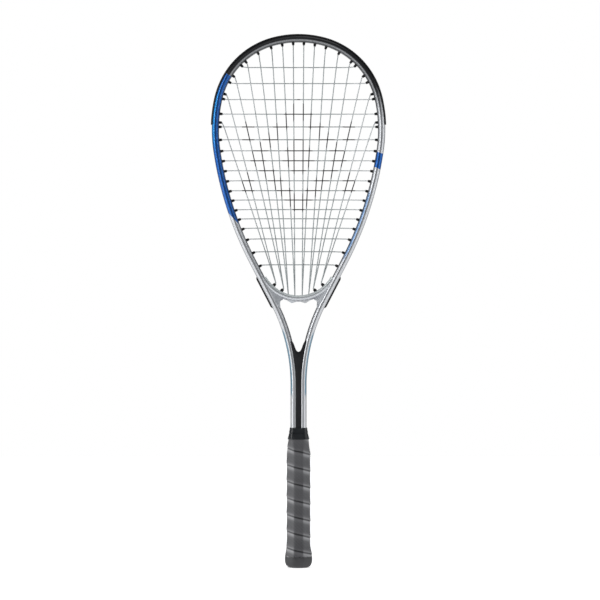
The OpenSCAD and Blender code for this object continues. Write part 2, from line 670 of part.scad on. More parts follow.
// Butt cap: a cup over the end of the shells, with a flared end
flare = butt_half_w - grip_half_w + grip_t;
skirt_t = 1.1;
module butt_cap() color("#2c2c2e") difference() {
    loft([
        [0, grip_section(flare - 6.4)],
        [1.4, grip_section(flare - 4)],
        [3.4, grip_section(flare - 1.9)],
        [6.4, grip_section(flare - 0.6)],
        [grip_bottom - 3, grip_section(flare)],
        [grip_bottom - 0.2, grip_section(flare - 0.1)],
        [grip_bottom, grip_section(flare - grip_t)],
        [butt_h, grip_section(skirt_t)],
    ]);
    loft([[shell_bottom - fit, grip_section(fit)], [butt_h + 1, grip_section(fit)]]);
    translate([0, 0, -1]) cylinder(r = badge_r + fit, h = badge_t + 1);
    for (x = [-1, 1]) translate([x * badge_r * 0.5, 0, -1]) cylinder(r = 0.85, h = shell_bottom + 2);
    butt_staples(fit);
}
badge_r = 7;
badge_t = 1;
module butt_badge() color("#55575a") {
    translate([0, 0, 0.1]) cylinder(r = badge_r, h = badge_t - 0.1);
    for (x = [-1, 1]) translate([x * badge_r * 0.5, 0, 0.5]) cylinder(r = 0.8, h = shell_bottom - 0.5 - fit);
}
// Staples through the skirt into the shells, on the two hitting faces
staple_w = 8;
staple_z = 20;
staple_r = 0.45;
module butt_staples(grow = 0) color("silver") {
    y_out = grip_half_d - grip_t + skirt_t + 0.3;
    for (turn = [0, 180]) rotate([0, 0, turn]) {
        translate([0, y_out, staple_z]) rotate([0, 90, 0])
            cylinder(r = staple_r + grow, h = staple_w + 2 * staple_r, center = true);
        for (x = [-1, 1]) translate([x * staple_w / 2, y_out, staple_z]) rotate([90, 0, 0])
            cylinder(r = staple_r + grow, h = 3 + grow);
    }
}

// Grip wrap, from the flare of the butt to the taper under the collar
module grip_wrap() color("#48474b") difference() {
    loft([
        [grip_bottom + fit, grip_section(flare - 0.1)],
        [grip_bottom + 5, grip_section(flare - 0.8)],
        [butt_h - 2, grip_section(grip_t + 0.9)],
        [butt_h + 3, grip_section(grip_t)],
        [taper_start, grip_section(grip_t)],
        [tape_low - 0.1, taper_section(grip_t, 2.4, tape_low - 0.1)],
        [grip_top, shaft_section(2.4)],
    ]);
    loft([
        [grip_bottom - 1, grip_section(flare - grip_t + 0.8)],
        [grip_bottom + fit, grip_section(flare - grip_t + 0.5)],
        [butt_h + 0.5, grip_section(skirt_t + 0.5)],
        [butt_h + 2, grip_section(fit)],
        [taper_start, grip_section(fit)],
        [shell_top, taper_section(fit, 0.85 + fit, shell_top)],
        [grip_top + 1, taper_section(fit, 0.85 + fit, grip_top + 1)],
    ]);
}
// Tack that holds the start of the wrap to the skirt, at the back
module grip_tack() color("silver") {
    f = 0.25;
    lap = mix(flare - grip_t, skirt_t, f);
    slope = atan((flare - grip_t - skirt_t) / (butt_h - grip_bottom));
    translate([2, grip_half_d - grip_t + lap, mix(grip_bottom, butt_h, f)]) rotate([slope - 90, 0, 0])
        translate([0, 0, 0.08]) cylinder(r = 1.4, h = 0.3);
}

// Finishing tape closes the top of the wrap on the shaft
tape_t = 0.3;
tape_low = grip_top - 2;
tape_high = grip_top + 6;
module finishing_tape() color("#161616") difference() {
    loft([
        [tape_low, taper_section(grip_t + fit + tape_t, 2.4 + fit + tape_t, tape_low)],
        [grip_top + 0.3, shaft_section(2.4 + tape_t)],
        [grip_top + 1.6, shaft_section(fit + tape_t + 0.4)],
        [tape_high, shaft_section(fit + tape_t)],
    ]);
    loft([
        [tape_low - 0.1, taper_section(grip_t + fit, 2.4 + fit, tape_low - 0.1)],
        [grip_top + fit, shaft_section(2.4 + fit)],
        [grip_top + 1.3, shaft_section(fit)],
        [tape_high + 0.1, shaft_section(fit)],
    ]);
}
// Rubber collar: it slides up the shaft to uncover the tape
collar_low = grip_top - 2 + 0.3;
module grip_collar() color("#0d1117") difference() {
    gap = slide_fit;
    loft([
        [collar_low, shaft_section(2.5 + tape_t + gap + collar_wall * 0.45)],
        [collar_low + 4, shaft_section(2.35 + tape_t)],
        [tape_high + 0.4, shaft_section(1.95)],
        [collar_top - 3.4, shaft_section(1.2)],
        [collar_top - 0.6, shaft_section(0.9)],
        [collar_top, shaft_section(0.6)],
    ]);
    loft([
        [collar_low - 0.1, shaft_section(2.5 + tape_t + gap)],
        [grip_top + 0.6, shaft_section(2.4 + tape_t + gap)],
        [grip_top + 2, shaft_section(tape_t + 0.6 + gap)],
        [tape_high + gap, shaft_section(tape_t + gap)],
        [tape_high + 1.2, shaft_section(gap)],
        [collar_top + 0.1, shaft_section(gap)],
    ]);
}

frame_tube();
throat_bridge();
throat_wedge();
bumper_guard();
grommet_strip_left();
grommet_strip_right();
throat_strip_left();
throat_strip_right();
main_string();
cross_string();
handle_shell_front();
handle_shell_back();
handle_dowel();
leg_plugs();
butt_cap();
butt_badge();
butt_staples();
grip_wrap();
grip_tack();
finishing_tape();
grip_collar();
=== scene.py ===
# %% [markdown]
# A squash racket with an open throat, shown standing on its butt.
#
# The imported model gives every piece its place. This script builds finer meshes round it: the
# bent and painted tube, the woven strings, the guards with their grommets, the moulded bridge and
# wedge, and the wrapped grip. Sizes are written in millimetres, as a maker would measure them,
# and turned into metres at the moment a vertex is made.

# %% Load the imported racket
import json
import math

import bmesh
import bpy
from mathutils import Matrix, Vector
from mathutils.geometry import tessellate_polygon

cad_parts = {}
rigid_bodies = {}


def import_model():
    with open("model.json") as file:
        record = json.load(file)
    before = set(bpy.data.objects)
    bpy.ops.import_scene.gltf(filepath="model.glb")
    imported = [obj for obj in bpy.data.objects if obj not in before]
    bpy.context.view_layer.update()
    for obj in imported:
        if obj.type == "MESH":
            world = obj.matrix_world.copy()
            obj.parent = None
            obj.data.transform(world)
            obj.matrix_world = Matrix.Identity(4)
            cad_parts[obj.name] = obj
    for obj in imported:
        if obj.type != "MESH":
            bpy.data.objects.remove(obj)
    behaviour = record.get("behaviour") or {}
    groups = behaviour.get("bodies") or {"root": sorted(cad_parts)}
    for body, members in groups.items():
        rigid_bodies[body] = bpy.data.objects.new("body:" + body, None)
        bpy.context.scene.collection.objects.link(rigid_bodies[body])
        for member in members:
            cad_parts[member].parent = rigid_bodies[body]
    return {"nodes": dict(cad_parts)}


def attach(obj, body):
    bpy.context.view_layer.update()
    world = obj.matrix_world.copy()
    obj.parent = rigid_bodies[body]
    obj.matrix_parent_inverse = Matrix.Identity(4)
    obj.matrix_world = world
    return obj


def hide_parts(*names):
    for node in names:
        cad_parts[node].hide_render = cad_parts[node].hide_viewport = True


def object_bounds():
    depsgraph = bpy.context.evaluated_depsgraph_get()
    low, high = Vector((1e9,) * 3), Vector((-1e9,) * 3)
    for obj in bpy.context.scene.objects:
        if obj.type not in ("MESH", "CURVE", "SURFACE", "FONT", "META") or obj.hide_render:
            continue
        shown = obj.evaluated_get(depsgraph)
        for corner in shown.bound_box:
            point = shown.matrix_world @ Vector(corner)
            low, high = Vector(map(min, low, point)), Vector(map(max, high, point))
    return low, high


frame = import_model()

cad_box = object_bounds()
MM = 0.001
print("pieces in the pack:", len(frame["nodes"]))

# %% [markdown]
# The camera comes first, so that every later look at the racket is taken from the same place. A
# long lens far away keeps both sides of the frame parallel to the eye, as in a catalogue picture.
# The racket fills most of a square picture.

# %% Camera
VIEW_HEIGHT = 771.7 * MM
AIM = Vector((1.9, 0, 344.1)) * MM
LENS = 200
SENSOR = 36

camera_data = bpy.data.cameras.new("camera")
camera_data.lens = LENS
camera_data.sensor_width = SENSOR
camera = bpy.data.objects.new("camera", camera_data)
camera.location = AIM - Vector((0, VIEW_HEIGHT * LENS / SENSOR, 0))
camera.rotation_euler = (math.radians(90), 0, 0)
bpy.context.scene.collection.objects.link(camera)
bpy.context.scene.camera = camera
print("camera stands back", round(-camera.location.y, 2), "m")

# %% [markdown]
# The floor is a wide pale sheet. The room is even and bright, and soft boxes on both sides and
# above draw the long highlights that make a bent metal tube read as metal. The boxes differ in
# strength, because equal light from both sides would flatten the bevels.

# %% Floor, room and lights
scene = bpy.context.scene
scene.view_settings.view_transform = "Standard"

floor_mesh = bpy.data.meshes.new("floor")
FLOOR_HALF = 3.0
floor_mesh.from_pydata(
    [(-FLOOR_HALF, -FLOOR_HALF, 0), (FLOOR_HALF, -FLOOR_HALF, 0),
     (FLOOR_HALF, FLOOR_HALF, 0), (-FLOOR_HALF, FLOOR_HALF, 0)],
    [], [(0, 1, 2, 3)],
)
floor = bpy.data.objects.new("floor", floor_mesh)
scene.collection.objects.link(floor)
floor_paint = bpy.data.materials.new("pale_floor")
floor_paint.use_nodes = True
floor_shader = floor_paint.node_tree.nodes["Principled BSDF"]
floor_shader.inputs["Base Color"].default_value = (0.93, 0.93, 0.93, 1)
floor_shader.inputs["Roughness"].default_value = 0.9
floor_shader.inputs["Specular IOR Level"].default_value = 0.1
floor_shader.inputs["Emission Color"].default_value = (1, 1, 1, 1)
floor_shader.inputs["Emission Strength"].default_value = 0.6
floor_mesh.materials.append(floor_paint)

world = bpy.data.worlds.new("room")
scene.world = world
world.use_nodes = True
room = world.node_tree
room.nodes.clear()
room_out = room.nodes.new("ShaderNodeOutputWorld")
room_mix = room.nodes.new("ShaderNodeMixShader")
seen = room.nodes.new("ShaderNodeBackground")
felt = room.nodes.new("ShaderNodeBackground")
path = room.nodes.new("ShaderNodeLightPath")
seen.inputs["Color"].default_value = (1, 1, 1, 1)
seen.inputs["Strength"].default_value = 1.0
felt.inputs["Color"].default_value = (0.94, 0.97, 1, 1)
felt.inputs["Strength"].default_value = 0.28
room.links.new(path.outputs["Is Camera Ray"], room_mix.inputs["Fac"])
room.links.new(felt.outputs[0], room_mix.inputs[1])
room.links.new(seen.outputs[0], room_mix.inputs[2])
room.links.new(room_mix.outputs[0], room_out.inputs["Surface"])

TARGET = Vector((0, 0, 0.38))
# name, place in metres, size in metres, power in watts
SOFT_BOXES = [
    ("left_box", (-2.6, -0.7, 0.9), (1.0, 2.6), 46),
    ("right_box", (2.6, -0.2, 0.6), (0.7, 2.4), 18),
    ("front_box", (-0.9, -3.0, 2.4), (1.6, 1.0), 8),
    ("top_box", (0.3, -0.3, 2.9), (2.2, 1.4), 10),
    ("back_box", (0.8, 2.8, 1.5), (2.2, 1.6), 18),
]
for name, place, size, power in SOFT_BOXES:
    light = bpy.data.lights.new(name, "AREA")
    light.shape = "RECTANGLE"
    light.size, light.size_y = size
    light.energy = power
    lamp = bpy.data.objects.new(name, light)
    lamp.location = place
    lamp.rotation_euler = (TARGET - lamp.location).to_track_quat("-Z", "Y").to_euler()
    lamp.visible_camera = False
    scene.collection.objects.link(lamp)
print("soft boxes:", len(SOFT_BOXES))

# %% [markdown]
# One routine turns lists of points and faces into a finished piece: it cleans the mesh, makes the
# normals agree, shades it smooth but keeps real edges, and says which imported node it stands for.
# It is used for every piece, so no piece can be forgotten half way.

# %% Making a piece
SHARP = math.radians(32)
MERGE = 0.004


def add_piece(name, points, faces, *, stands_for, body="racket", sharp=SHARP, values=None):
    """Mesh object from points in millimetres. values maps an attribute's name to one number a point."""
    mesh = bpy.data.meshes.new(name)
    mesh.from_pydata([Vector(p) * MM for p in points], [], faces)
    for key, numbers in (values or {}).items():
        layer = mesh.attributes.new(key, "FLOAT", "POINT")
        layer.data.foreach_set("value", numbers)
    work = bmesh.new()
    work.from_mesh(mesh)
    bmesh.ops.remove_doubles(work, verts=work.verts, dist=MERGE * MM)
    bmesh.ops.dissolve_degenerate(work, edges=work.edges, dist=MERGE / 2 * MM)
    bmesh.ops.recalc_face_normals(work, faces=work.faces)
    ends = [face for face in work.faces if len(face.verts) > 4]
    bmesh.ops.triangulate(work, faces=ends, ngon_method="EAR_CLIP")
    work.to_mesh(mesh)
    work.free()
    for face in mesh.polygons:
        face.use_smooth = True
    mesh.set_sharp_from_angle(angle=sharp)
    piece = bpy.data.objects.new(name, mesh)
    scene.collection.objects.link(piece)
    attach(piece, body)
    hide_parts(*stands_for)
    print(name, "has", len(mesh.polygons), "faces")
    return piece


class Skin:
    """Points and faces collected from several shapes that belong to one piece."""

    def __init__(self):
        self.points, self.faces, self.values = [], [], {}

    def rings(self, rings, caps=True, closed=False):
        """Joins rings of equal length. caps fills the first and last one."""
        start, n = len(self.points), len(rings[0])
        for ring in rings:
            self.points += [tuple(p) for p in ring]
        rows = len(rings)
        for j in range(rows if closed else rows - 1):
            a, b = start + j * n, start + (j + 1) % rows * n
            for s in range(n):
                t = (s + 1) % n
                self.faces.append((a + s, a + t, b + t, b + s))
        if caps and not closed:
            self.faces.append(tuple(range(start + n - 1, start - 1, -1)))
            last = start + (rows - 1) * n
            self.faces.append(tuple(range(last, last + n)))


def rounded(corners, steps=4):
    """Closed outline with each corner (a, b, radius) turned into a short arc of steps + 1 points."""
    outline = []
    count = len(corners)
    for i, (x, y, radius) in enumerate(corners):
        here = Vector((x, y))
        before = Vector(corners[i - 1][:2]) - here
        after = Vector(corners[(i + 1) % count][:2]) - here
        cut = min(radius, before.length * 0.48, after.length * 0.48)
        first, last = here + before.normalized() * cut, here + after.normalized() * cut
        for k in range(steps + 1):
            f = k / steps
            outline.append(
                tuple(first * (1 - f) ** 2 + here * 2 * f * (1 - f) + last * f ** 2)
            )
    return outline


# %% [markdown]
# The tube's centre line is made of arcs that meet smoothly: crown, shoulder, side and a long lower
# arc, then a straight stretch beside the throat, a reverse bend and the shaft. A real tube is bent
# in the same way, over a few fixed radii, so arcs are truer to it than a free curve. Every point on
# the line knows which way is outward, so other pieces can stand off it.

# %% Centre line of the tube
HALF_W, HALF_D = 4.6, 9.25
LEG_X = HALF_W + 1.1
LEG_RADIUS = 229
NECK_Z = 235.2
SHAFT_BOTTOM = 12
LOWER_ANGLE = 117.4
LEAN = math.radians(LOWER_ANGLE - 90)
# radius, first direction and last direction, measured from straight up
BENDS = [(125.5, 0, 14.6), (98, 14.6, 77.6), (182, 77.6, 98), (446, 98, LOWER_ANGLE)]


def sin_cos(angle):
    return math.sin(math.radians(angle)), math.cos(math.radians(angle))


def bend_centres():
    """Centre of each bend, from the crown down, with the crown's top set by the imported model."""
    top = cad_box[1][2] / MM - HALF_W - 1.3
    x, z = 0.0, top - BENDS[0][0]
    centres = [(x, z)]
    for (r0, _, a), (r1, _, _) in zip(BENDS, BENDS[1:]):
        s, c = sin_cos(a)
        x, z = x + (r0 - r1) * s, z + (r0 - r1) * c
        centres.append((x, z))
    return centres


CENTRES = bend_centres()
s_low, c_low = sin_cos(LOWER_ANGLE)
STRAIGHT_X = CENTRES[3][0] + BENDS[3][0] * s_low
STRAIGHT_Z = CENTRES[3][1] + BENDS[3][0] * c_low
STRAIGHT_LEN = (STRAIGHT_X - LEG_X - LEG_RADIUS * (1 - s_low)) / math.sin(LEAN)


def rim_to(angle):
    """Point of the head's centre line whose outward direction is angle, as x, z, angle."""
    for (radius, _, last), (cx, cz) in zip(BENDS, CENTRES):
        if angle <= last or last == LOWER_ANGLE:
            s, c = sin_cos(angle)
            return cx + radius * s, cz + radius * c, angle


def along_straight(down):
    return STRAIGHT_X - down * math.sin(LEAN), STRAIGHT_Z - down * math.cos(LEAN), LOWER_ANGLE


def rim_at(height, stand):
    """Foot on the centre line of the point at this height that stands off it by stand."""
    for (radius, _, last), (cx, cz) in zip(BENDS, CENTRES):
        if height >= cz + (radius + stand) * sin_cos(last)[1]:
            angle = math.degrees(math.acos(min(1, (height - cz) / (radius + stand))))
            return rim_to(angle)
    down = (STRAIGHT_Z + stand * c_low - height) / math.cos(LEAN)
    return along_straight(down)


def off(foot, stand, depth, side=1):
    """Point that stands off the centre line, at a depth across the string bed."""
    s, c = sin_cos(foot[2])
    return side * (foot[0] + stand * s), depth, foot[1] + stand * c


STATION_STEP = 1.1


def head_stations(first, last):
    """Stations on the head between two outward directions, about STATION_STEP degrees apart."""
    count = max(2, round((last - first) / STATION_STEP))
    return [rim_to(first + (last - first) * k / count) for k in range(count + 1)]


def leg_stations():
    """From the top of the straight stretch to the bottom of the shaft."""
    line = [along_straight(STRAIGHT_LEN * k / 14) for k in range(1, 15)]
    bend = []
    for k in range(1, 25):
        angle = math.degrees(LEAN) * (1 - k / 24)
        s, c = sin_cos(angle)
        bend.append((LEG_X + LEG_RADIUS * (1 - c), NECK_Z + LEG_RADIUS * s, 90 + angle))
    shaft = [(LEG_X, NECK_Z + (SHAFT_BOTTOM - NECK_Z) * k / 20, 90) for k in range(1, 21)]
    return line + bend + shaft


half_line = head_stations(0, LOWER_ANGLE) + leg_stations()
print("straight stretch", round(STRAIGHT_LEN, 1), "mm, stations", len(half_line))

# %% [markdown]
# A sweep places one outline at every station and skins them. The left side is the right side seen
# in a mirror, so one list of stations serves both, and a sweep over the whole head is one skin
# with no joint at the crown. Two numbers stay with each point: how far it stands outward and how
# high its station lies. The paint uses them to stop its colours square across the tube.

# %% Sweeping an outline along the tube


def sweep(skin, stations, outline, side, ends=None):
    """Sweeps outline [(outward, depth)]. ends maps a station's index to a shrink of the outline."""
    rings = []
    for j, foot in enumerate(stations):
        factor = ends(j, len(stations)) if ends else 1
        rings.append([off(foot, n * factor, y, side) for n, y in outline])
    skin.rings(rings)


def sweep_whole(skin, stations, outline):
    """Sweeps down both sides of the racket as one skin."""
    rings = []
    sides = [(-1, foot) for foot in reversed(stations[1:])] + [(1, foot) for foot in stations]
    for side, foot in sides:
        rings.append([off(foot, n, y, side) for n, y in outline])
        skin.values.setdefault("outward", []).extend(n for n, _ in outline)
        skin.values.setdefault("station_height", []).extend([foot[1]] * len(outline))
    skin.rings(rings)


def mirrored(corners):
    """Completes an outline's corners (a, b, radius), given for b > 0, with those for b < 0."""
    return corners + [(a, -b, r) for a, b, r in reversed(corners)]


BEVEL_Y = HALF_D * 0.6
GROOVE_FLOOR = HALF_W - 2.4
tube_outline = rounded(mirrored([
    (GROOVE_FLOOR, 3, 0.5), (HALF_W, 3, 0.5), (HALF_W, BEVEL_Y, 1.0), (1.5, HALF_D, 1.0),
    (-1.3, HALF_D, 1.2), (-HALF_W + 0.4, BEVEL_Y, 1.4), (-HALF_W, BEVEL_Y - 1.4, 1.2),
]))
tube = Skin()
sweep_whole(tube, half_line, tube_outline)
frame_tube = add_piece("frame_tube_bent", tube.points, tube.faces, stands_for=["frame_tube"],
                       values=tube.values)

# %% [markdown]
# A bumper guard covers the crown and shoulders. It is one nylon moulding: cheeks over the tube, a
# channel for the strings that loop outside, and a barrel for each string hole. Barrels are turned
# shapes with a rounded lip and an open bore. They are drawn once, as a half section, and set at
# each hole along the tube's own outward direction.

# %% Grommet barrels
STUB = 3.6
BARREL_R, BORE_R = 1.5, 0.85
WIDE_BARREL_R, WIDE_BORE_R = 1.95, 1.45
HOLE_Y = 0.705
MAIN_ANGLES = [3.3, 10.1, 17.9, 29.3, 41.3, 56.5, 72.5, 87]
CROSS_GAPS = [32.4, 20.6, 20.6, 18.7, 16.4, 16.4, 14.2, 12.8, 12.8, 12.9, 12.7, 12, 12.3, 11.8, 12.1,
              13.7, 16.5, 16.8, 39.2]
BRIDGE_Z = NECK_Z + 114.9
BUMPER_ANGLE = 88
BEND_STAND = -HALF_W - STUB - 0.9
BARREL_SIDES = 20


def turned(skin, start, direction, section):
    """Turns a closed half section [(radius, distance along direction)] about a line."""
    direction = Vector(direction).normalized()
    across = direction.cross(Vector((0, 1, 0))).normalized()
    up = across.cross(direction)
    rings = []
    for k in range(BARREL_SIDES):
        turn = 2 * math.pi * k / BARREL_SIDES
        spoke = across * math.cos(turn) + up * math.sin(turn)
        rings.append([Vector(start) + spoke * r + direction * d for r, d in section])
    skin.rings(rings, caps=False, closed=True)


def barrel_section(outer, bore, length):
    lip = 0.35
    return [(bore, length), (bore, 0.25), (bore + 0.2, 0.0), (outer - lip, 0.0),
            (outer - 0.1, lip * 0.45), (outer + 0.05, lip * 1.6), (outer + 0.4, STUB - 0.4),
            (outer + 0.4, length)]


def barrel(skin, foot, depth, side):
    inward = -HALF_W - STUB
    s, c = sin_cos(foot[2])
    turned(skin, off(foot, inward, depth, side), (side * s, 0, c),
           barrel_section(BARREL_R, BORE_R, GROOVE_FLOOR - inward))


def cross_heights():
    top = CENTRES[0][1] + BENDS[0][0] - HALF_W
    scale = (top - BRIDGE_Z) / sum(CROSS_GAPS)
    heights, down = [], 0
    for gap in CROSS_GAPS[:-1]:
        down += gap
        heights.append(top - scale * down)
    return heights


CROSS_Z = cross_heights()
cross_feet = [rim_at(z, BEND_STAND) for z in CROSS_Z]
upper_crosses = [foot for foot in cross_feet if foot[2] < BUMPER_ANGLE - 0.6]
lower_crosses = cross_feet[len(upper_crosses):]
print("crosses through the bumper:", len(upper_crosses), "below it:", len(lower_crosses))

# %% Bumper guard
CHANNEL = 1.58
BUMPER_OUT = HALF_W + 1.3
bumper_outline = rounded(mirrored([
    (GROOVE_FLOOR + 0.85, CHANNEL, 0.3), (BUMPER_OUT, CHANNEL, 0.6), (BUMPER_OUT, BEVEL_Y - 0.6, 1.0),
    (BUMPER_OUT - 0.9, BEVEL_Y + 1.2, 0.9), (HALF_W - 0.9, BEVEL_Y + 1.85, 0.3),
    (HALF_W - 0.95, BEVEL_Y + 0.7, 0.2), (HALF_W + 0.03, BEVEL_Y - 0.6, 0.3),
    (HALF_W + 0.03, 2.9, 0.2), (GROOVE_FLOOR + 0.05, 2.9, 0.2),
]), steps=3)
bumper = Skin()
sweep_whole(bumper, head_stations(0, BUMPER_ANGLE), bumper_outline)
for side in (-1, 1):
    for angle in MAIN_ANGLES:
        barrel(bumper, rim_to(angle), HOLE_Y, side)
    for foot in upper_crosses:
        barrel(bumper, foot, -HOLE_Y, side)
add_piece("bumper_guard_moulded", bumper.points, bumper.faces,
          stands_for=["bumper_guard"])

# %% [markdown]
# Below the bumper a thin strip lies at the bottom of the groove on each side, with its own row of
# barrels. At the bridge a thicker strip covers the outside of each leg. Its ends are bevelled, and
# each of its two wide barrels takes a pair of main strings through the leg and the bridge.

# %% Side strips
STRIP_FLOOR = 0.8
strip_outline = rounded([
    (GROOVE_FLOOR + 0.05, -2.9, 0.1), (GROOVE_FLOOR + 0.05, 2.9, 0.1),
    (GROOVE_FLOOR + 0.05 + STRIP_FLOOR, 2.9, 0.25), (GROOVE_FLOOR + 0.05 + STRIP_FLOOR, -2.9, 0.25),
], steps=2)
strip_tail = (STRAIGHT_Z - CROSS_Z[-1]) / math.cos(LEAN) + 6
strip_line = head_stations(BUMPER_ANGLE + 0.2, LOWER_ANGLE) + [
    along_straight(strip_tail * k / 3) for k in range(1, 4)]
for word, side in (("left", -1), ("right", 1)):
    strip = Skin()
    sweep(strip, strip_line, strip_outline, side)
    for foot in lower_crosses:
        barrel(strip, foot, -HOLE_Y, side)
    add_piece("side_strip_" + word, strip.points, strip.faces,
              stands_for=["grommet_strip_" + word])

# %% The bridge's string holes
BRIDGE_T, BRIDGE_D = 8.4, 17.2
BRIDGE_LINING = 1.9
LEG_IN_X = along_straight((STRAIGHT_Z - BRIDGE_Z) / math.cos(LEAN))[0] - HALF_W / math.cos(LEAN)
BRIDGE_R = (math.cos(LEAN) * LEG_IN_X - BRIDGE_LINING) / (1 - math.sin(LEAN))
BRIDGE_CZ = BRIDGE_Z + BRIDGE_R
BRIDGE_HOLES = [4.7, 13.2, 22.1, 32.1]
hole_s, hole_c = sin_cos(138)


def bridge_top(x):
    return BRIDGE_CZ - math.sqrt(BRIDGE_R ** 2 - x ** 2)


def bridge_under(x):
    return BRIDGE_CZ - math.sqrt((BRIDGE_R + BRIDGE_T) ** 2 - x ** 2)


def throat_hole_length(x):
    """Length of an outer bridge hole, from the strung edge to the floor of the leg's groove."""
    foot = along_straight((STRAIGHT_Z - BRIDGE_Z) / math.cos(LEAN))
    gap = GROOVE_FLOOR - (x - foot[0]) * s_low - (bridge_top(x) - foot[1]) * c_low
    return gap / (hole_s * s_low + hole_c * c_low)


print("bridge radius", round(BRIDGE_R, 2), "outer holes",
      [round(throat_hole_length(x), 1) for x in BRIDGE_HOLES[2:]])

# %% Throat strips


def throat_exit(x):
    """Distance of an outer hole's exit below the top of the straight stretch."""
    reach = throat_hole_length(x)
    px, pz = x + reach * hole_s, bridge_top(x) + reach * hole_c
    return (STRAIGHT_X - px) * math.sin(LEAN) + (STRAIGHT_Z - pz) * math.cos(LEAN)


THROAT_LEN = 45
throat_first = throat_exit(BRIDGE_HOLES[2]) + 4 * WIDE_BARREL_R - THROAT_LEN
throat_outline = rounded(mirrored([
    (GROOVE_FLOOR + 0.3, 2.9, 0.1), (HALF_W + 0.02, 2.9, 0.1), (HALF_W + 0.02, 4.8, 0.2),
    (HALF_W + 1.4, 4.7, 0.5), (HALF_W + 1.9, 3.7, 0.8), (HALF_W + 1.9, 1.7, 0.3),
]), steps=3)
throat_line = [along_straight(throat_first + THROAT_LEN * k / 30) for k in range(31)]


def bevelled(j, count):
    """Lets a strip's last 3 mm slope down to the tube."""
    to_end = min(j, count - 1 - j) * THROAT_LEN / (count - 1)
    return 1 if to_end >= 3 else 0.8 + 0.2 * (to_end / 3) ** 0.6


for word, side in (("left", -1), ("right", 1)):
    strip = Skin()
    sweep(strip, throat_line, throat_outline, side, ends=bevelled)
    for x in BRIDGE_HOLES[2:]:
        start = Vector((side * (x - STUB * hole_s), 0, bridge_top(x) - STUB * hole_c))
        length = throat_hole_length(x) + STUB + 1.2
        turned(strip, start, (side * hole_s, 0, hole_c),
               barrel_section(WIDE_BARREL_R - 0.1, WIDE_BORE_R, length))
        rim = start + Vector((side * hole_s, 0, hole_c)) * (length + 1.6)
        turned(strip, rim, (side * s_low, 0, c_low),
               [(WIDE_BORE_R, 0), (WIDE_BORE_R + 0.3, 0.55), (WIDE_BARREL_R + 0.1, 0.45),
                (WIDE_BARREL_R + 0.5, -0.4), (WIDE_BORE_R, -0.6)])
    add_piece("throat_strip_cover_" + word, strip.points, strip.faces,
              stands_for=["throat_strip_" + word])

# %% [markdown]
# The bridge is one satin moulding between the legs. Its bar follows an arc and has a ridge along
# its middle, with a sloping band above and below. Thin webs fill the corners between bar and legs,
# and two bosses under the bar carry the middle main strings. The bar is swept along its own arc,
# and the webs are flat plates with a rounded edge that run into the legs.

# %% Moulded bridge
bridge = Skin()
bar_half = BRIDGE_D / 2
bar_outline = rounded([
    (BRIDGE_T * down, bar_half * across, radius) for down, across, radius in mirrored([
        (0, 0.60, 1.1), (0.24, 0.90, 0.7), (0.36, 0.88, 0.3), (0.52, 1, 0.5), (0.66, 0.97, 0.7),
        (1, 0.58, 1.3)])
], steps=3)
BRIDGE_SPAN = 90 - math.degrees(LEAN) - 2
bar_rings = []
for k in range(81):
    s, c = sin_cos(-BRIDGE_SPAN + 2 * BRIDGE_SPAN * k / 80)
    bar_rings.append([((BRIDGE_R + n) * s, y, BRIDGE_CZ - (BRIDGE_R + n) * c) for n, y in bar_outline])
bridge.rings(bar_rings)

CORNER_R = 4
CORNER_X = 24.4 - CORNER_R
CORNER_Z = bridge_under(CORNER_X) - CORNER_R - 0.8
FOOT_Z = CORNER_Z - 6.5


def plate(skin, outline, half, edge=0.7):
    """Flat plate across the racket with a softened edge. outline is [(x, z)], counter-clockwise."""
    count = len(outline)

    def inset(amount):
        ring = []
        for i in range(count):
            here = Vector(outline[i])
            tangent = (Vector(outline[(i + 1) % count]) - Vector(outline[i - 1])).normalized()
            ring.append(here + Vector((-tangent.y, tangent.x)) * amount)
        return ring

    levels = [(-half, edge), (-half + edge * 0.3, edge * 0.3), (-half + edge, 0),
              (half - edge, 0), (half - edge * 0.3, edge * 0.3), (half, edge)]
    rings = [[(p.x, y, p.y) for p in inset(amount)] for y, amount in levels]
    first = len(skin.points)
    skin.rings(rings, caps=False)
    last = len(skin.points) - count
    for a, b, c in tessellate_polygon([[Vector((x, z, 0)) for x, _, z in rings[0]]]):
        skin.faces += [(first + a, first + b, first + c), (last + c, last + b, last + a)]


def web_outline(side):
    leg_foot = rim_at(FOOT_Z, 0)
    leg_tip = along_straight((STRAIGHT_Z - (BRIDGE_CZ - BRIDGE_R * sin_cos(BRIDGE_SPAN)[1])) / math.cos(LEAN))
    middle = BRIDGE_R + BRIDGE_T / 2
    points = [(CORNER_X + CORNER_R * sin_cos(a)[1], CORNER_Z + CORNER_R * sin_cos(a)[0])
              for a in range(90, -1, -10)]
    points += [(24.2, FOOT_Z + 2), (23.9, FOOT_Z), (leg_foot[0], FOOT_Z), leg_tip[:2]]
    points += [(middle * sin_cos(a)[0], BRIDGE_CZ - middle * sin_cos(a)[1]) for a in range(58, 25, -6)]
    if side > 0:
        return points[::-1]
    return [(-x, z) for x, z in points]


BAR_END, WEB, BOSS = 1.0, -1.0, -2.0
BOSS_DROP, BOSS_REACH = 2.3, 5.0


def boss_outline(side):
    """Smooth bump under the bar, over the string that runs between the two middle holes."""
    middle = (BRIDGE_HOLES[0] + BRIDGE_HOLES[1]) / 2
    low = []
    for k in range(-8, 9):
        x = middle + BOSS_REACH * k / 8
        low.append((x, bridge_under(x) + 0.6 - (BOSS_DROP + 0.6) * (1 - (abs(k) / 8) ** 2.2) ** 1.3))
    points = low + [(x, bridge_under(x) + 2.5) for x, _ in low[::-2]]
    return points if side > 0 else [(-x, z) for x, z in points[::-1]]


def note_band(skin, value):
    """Gives every point that has no band yet the same value."""
    noted = skin.values.setdefault("band", [])
    noted += [value] * (len(skin.points) - len(noted))


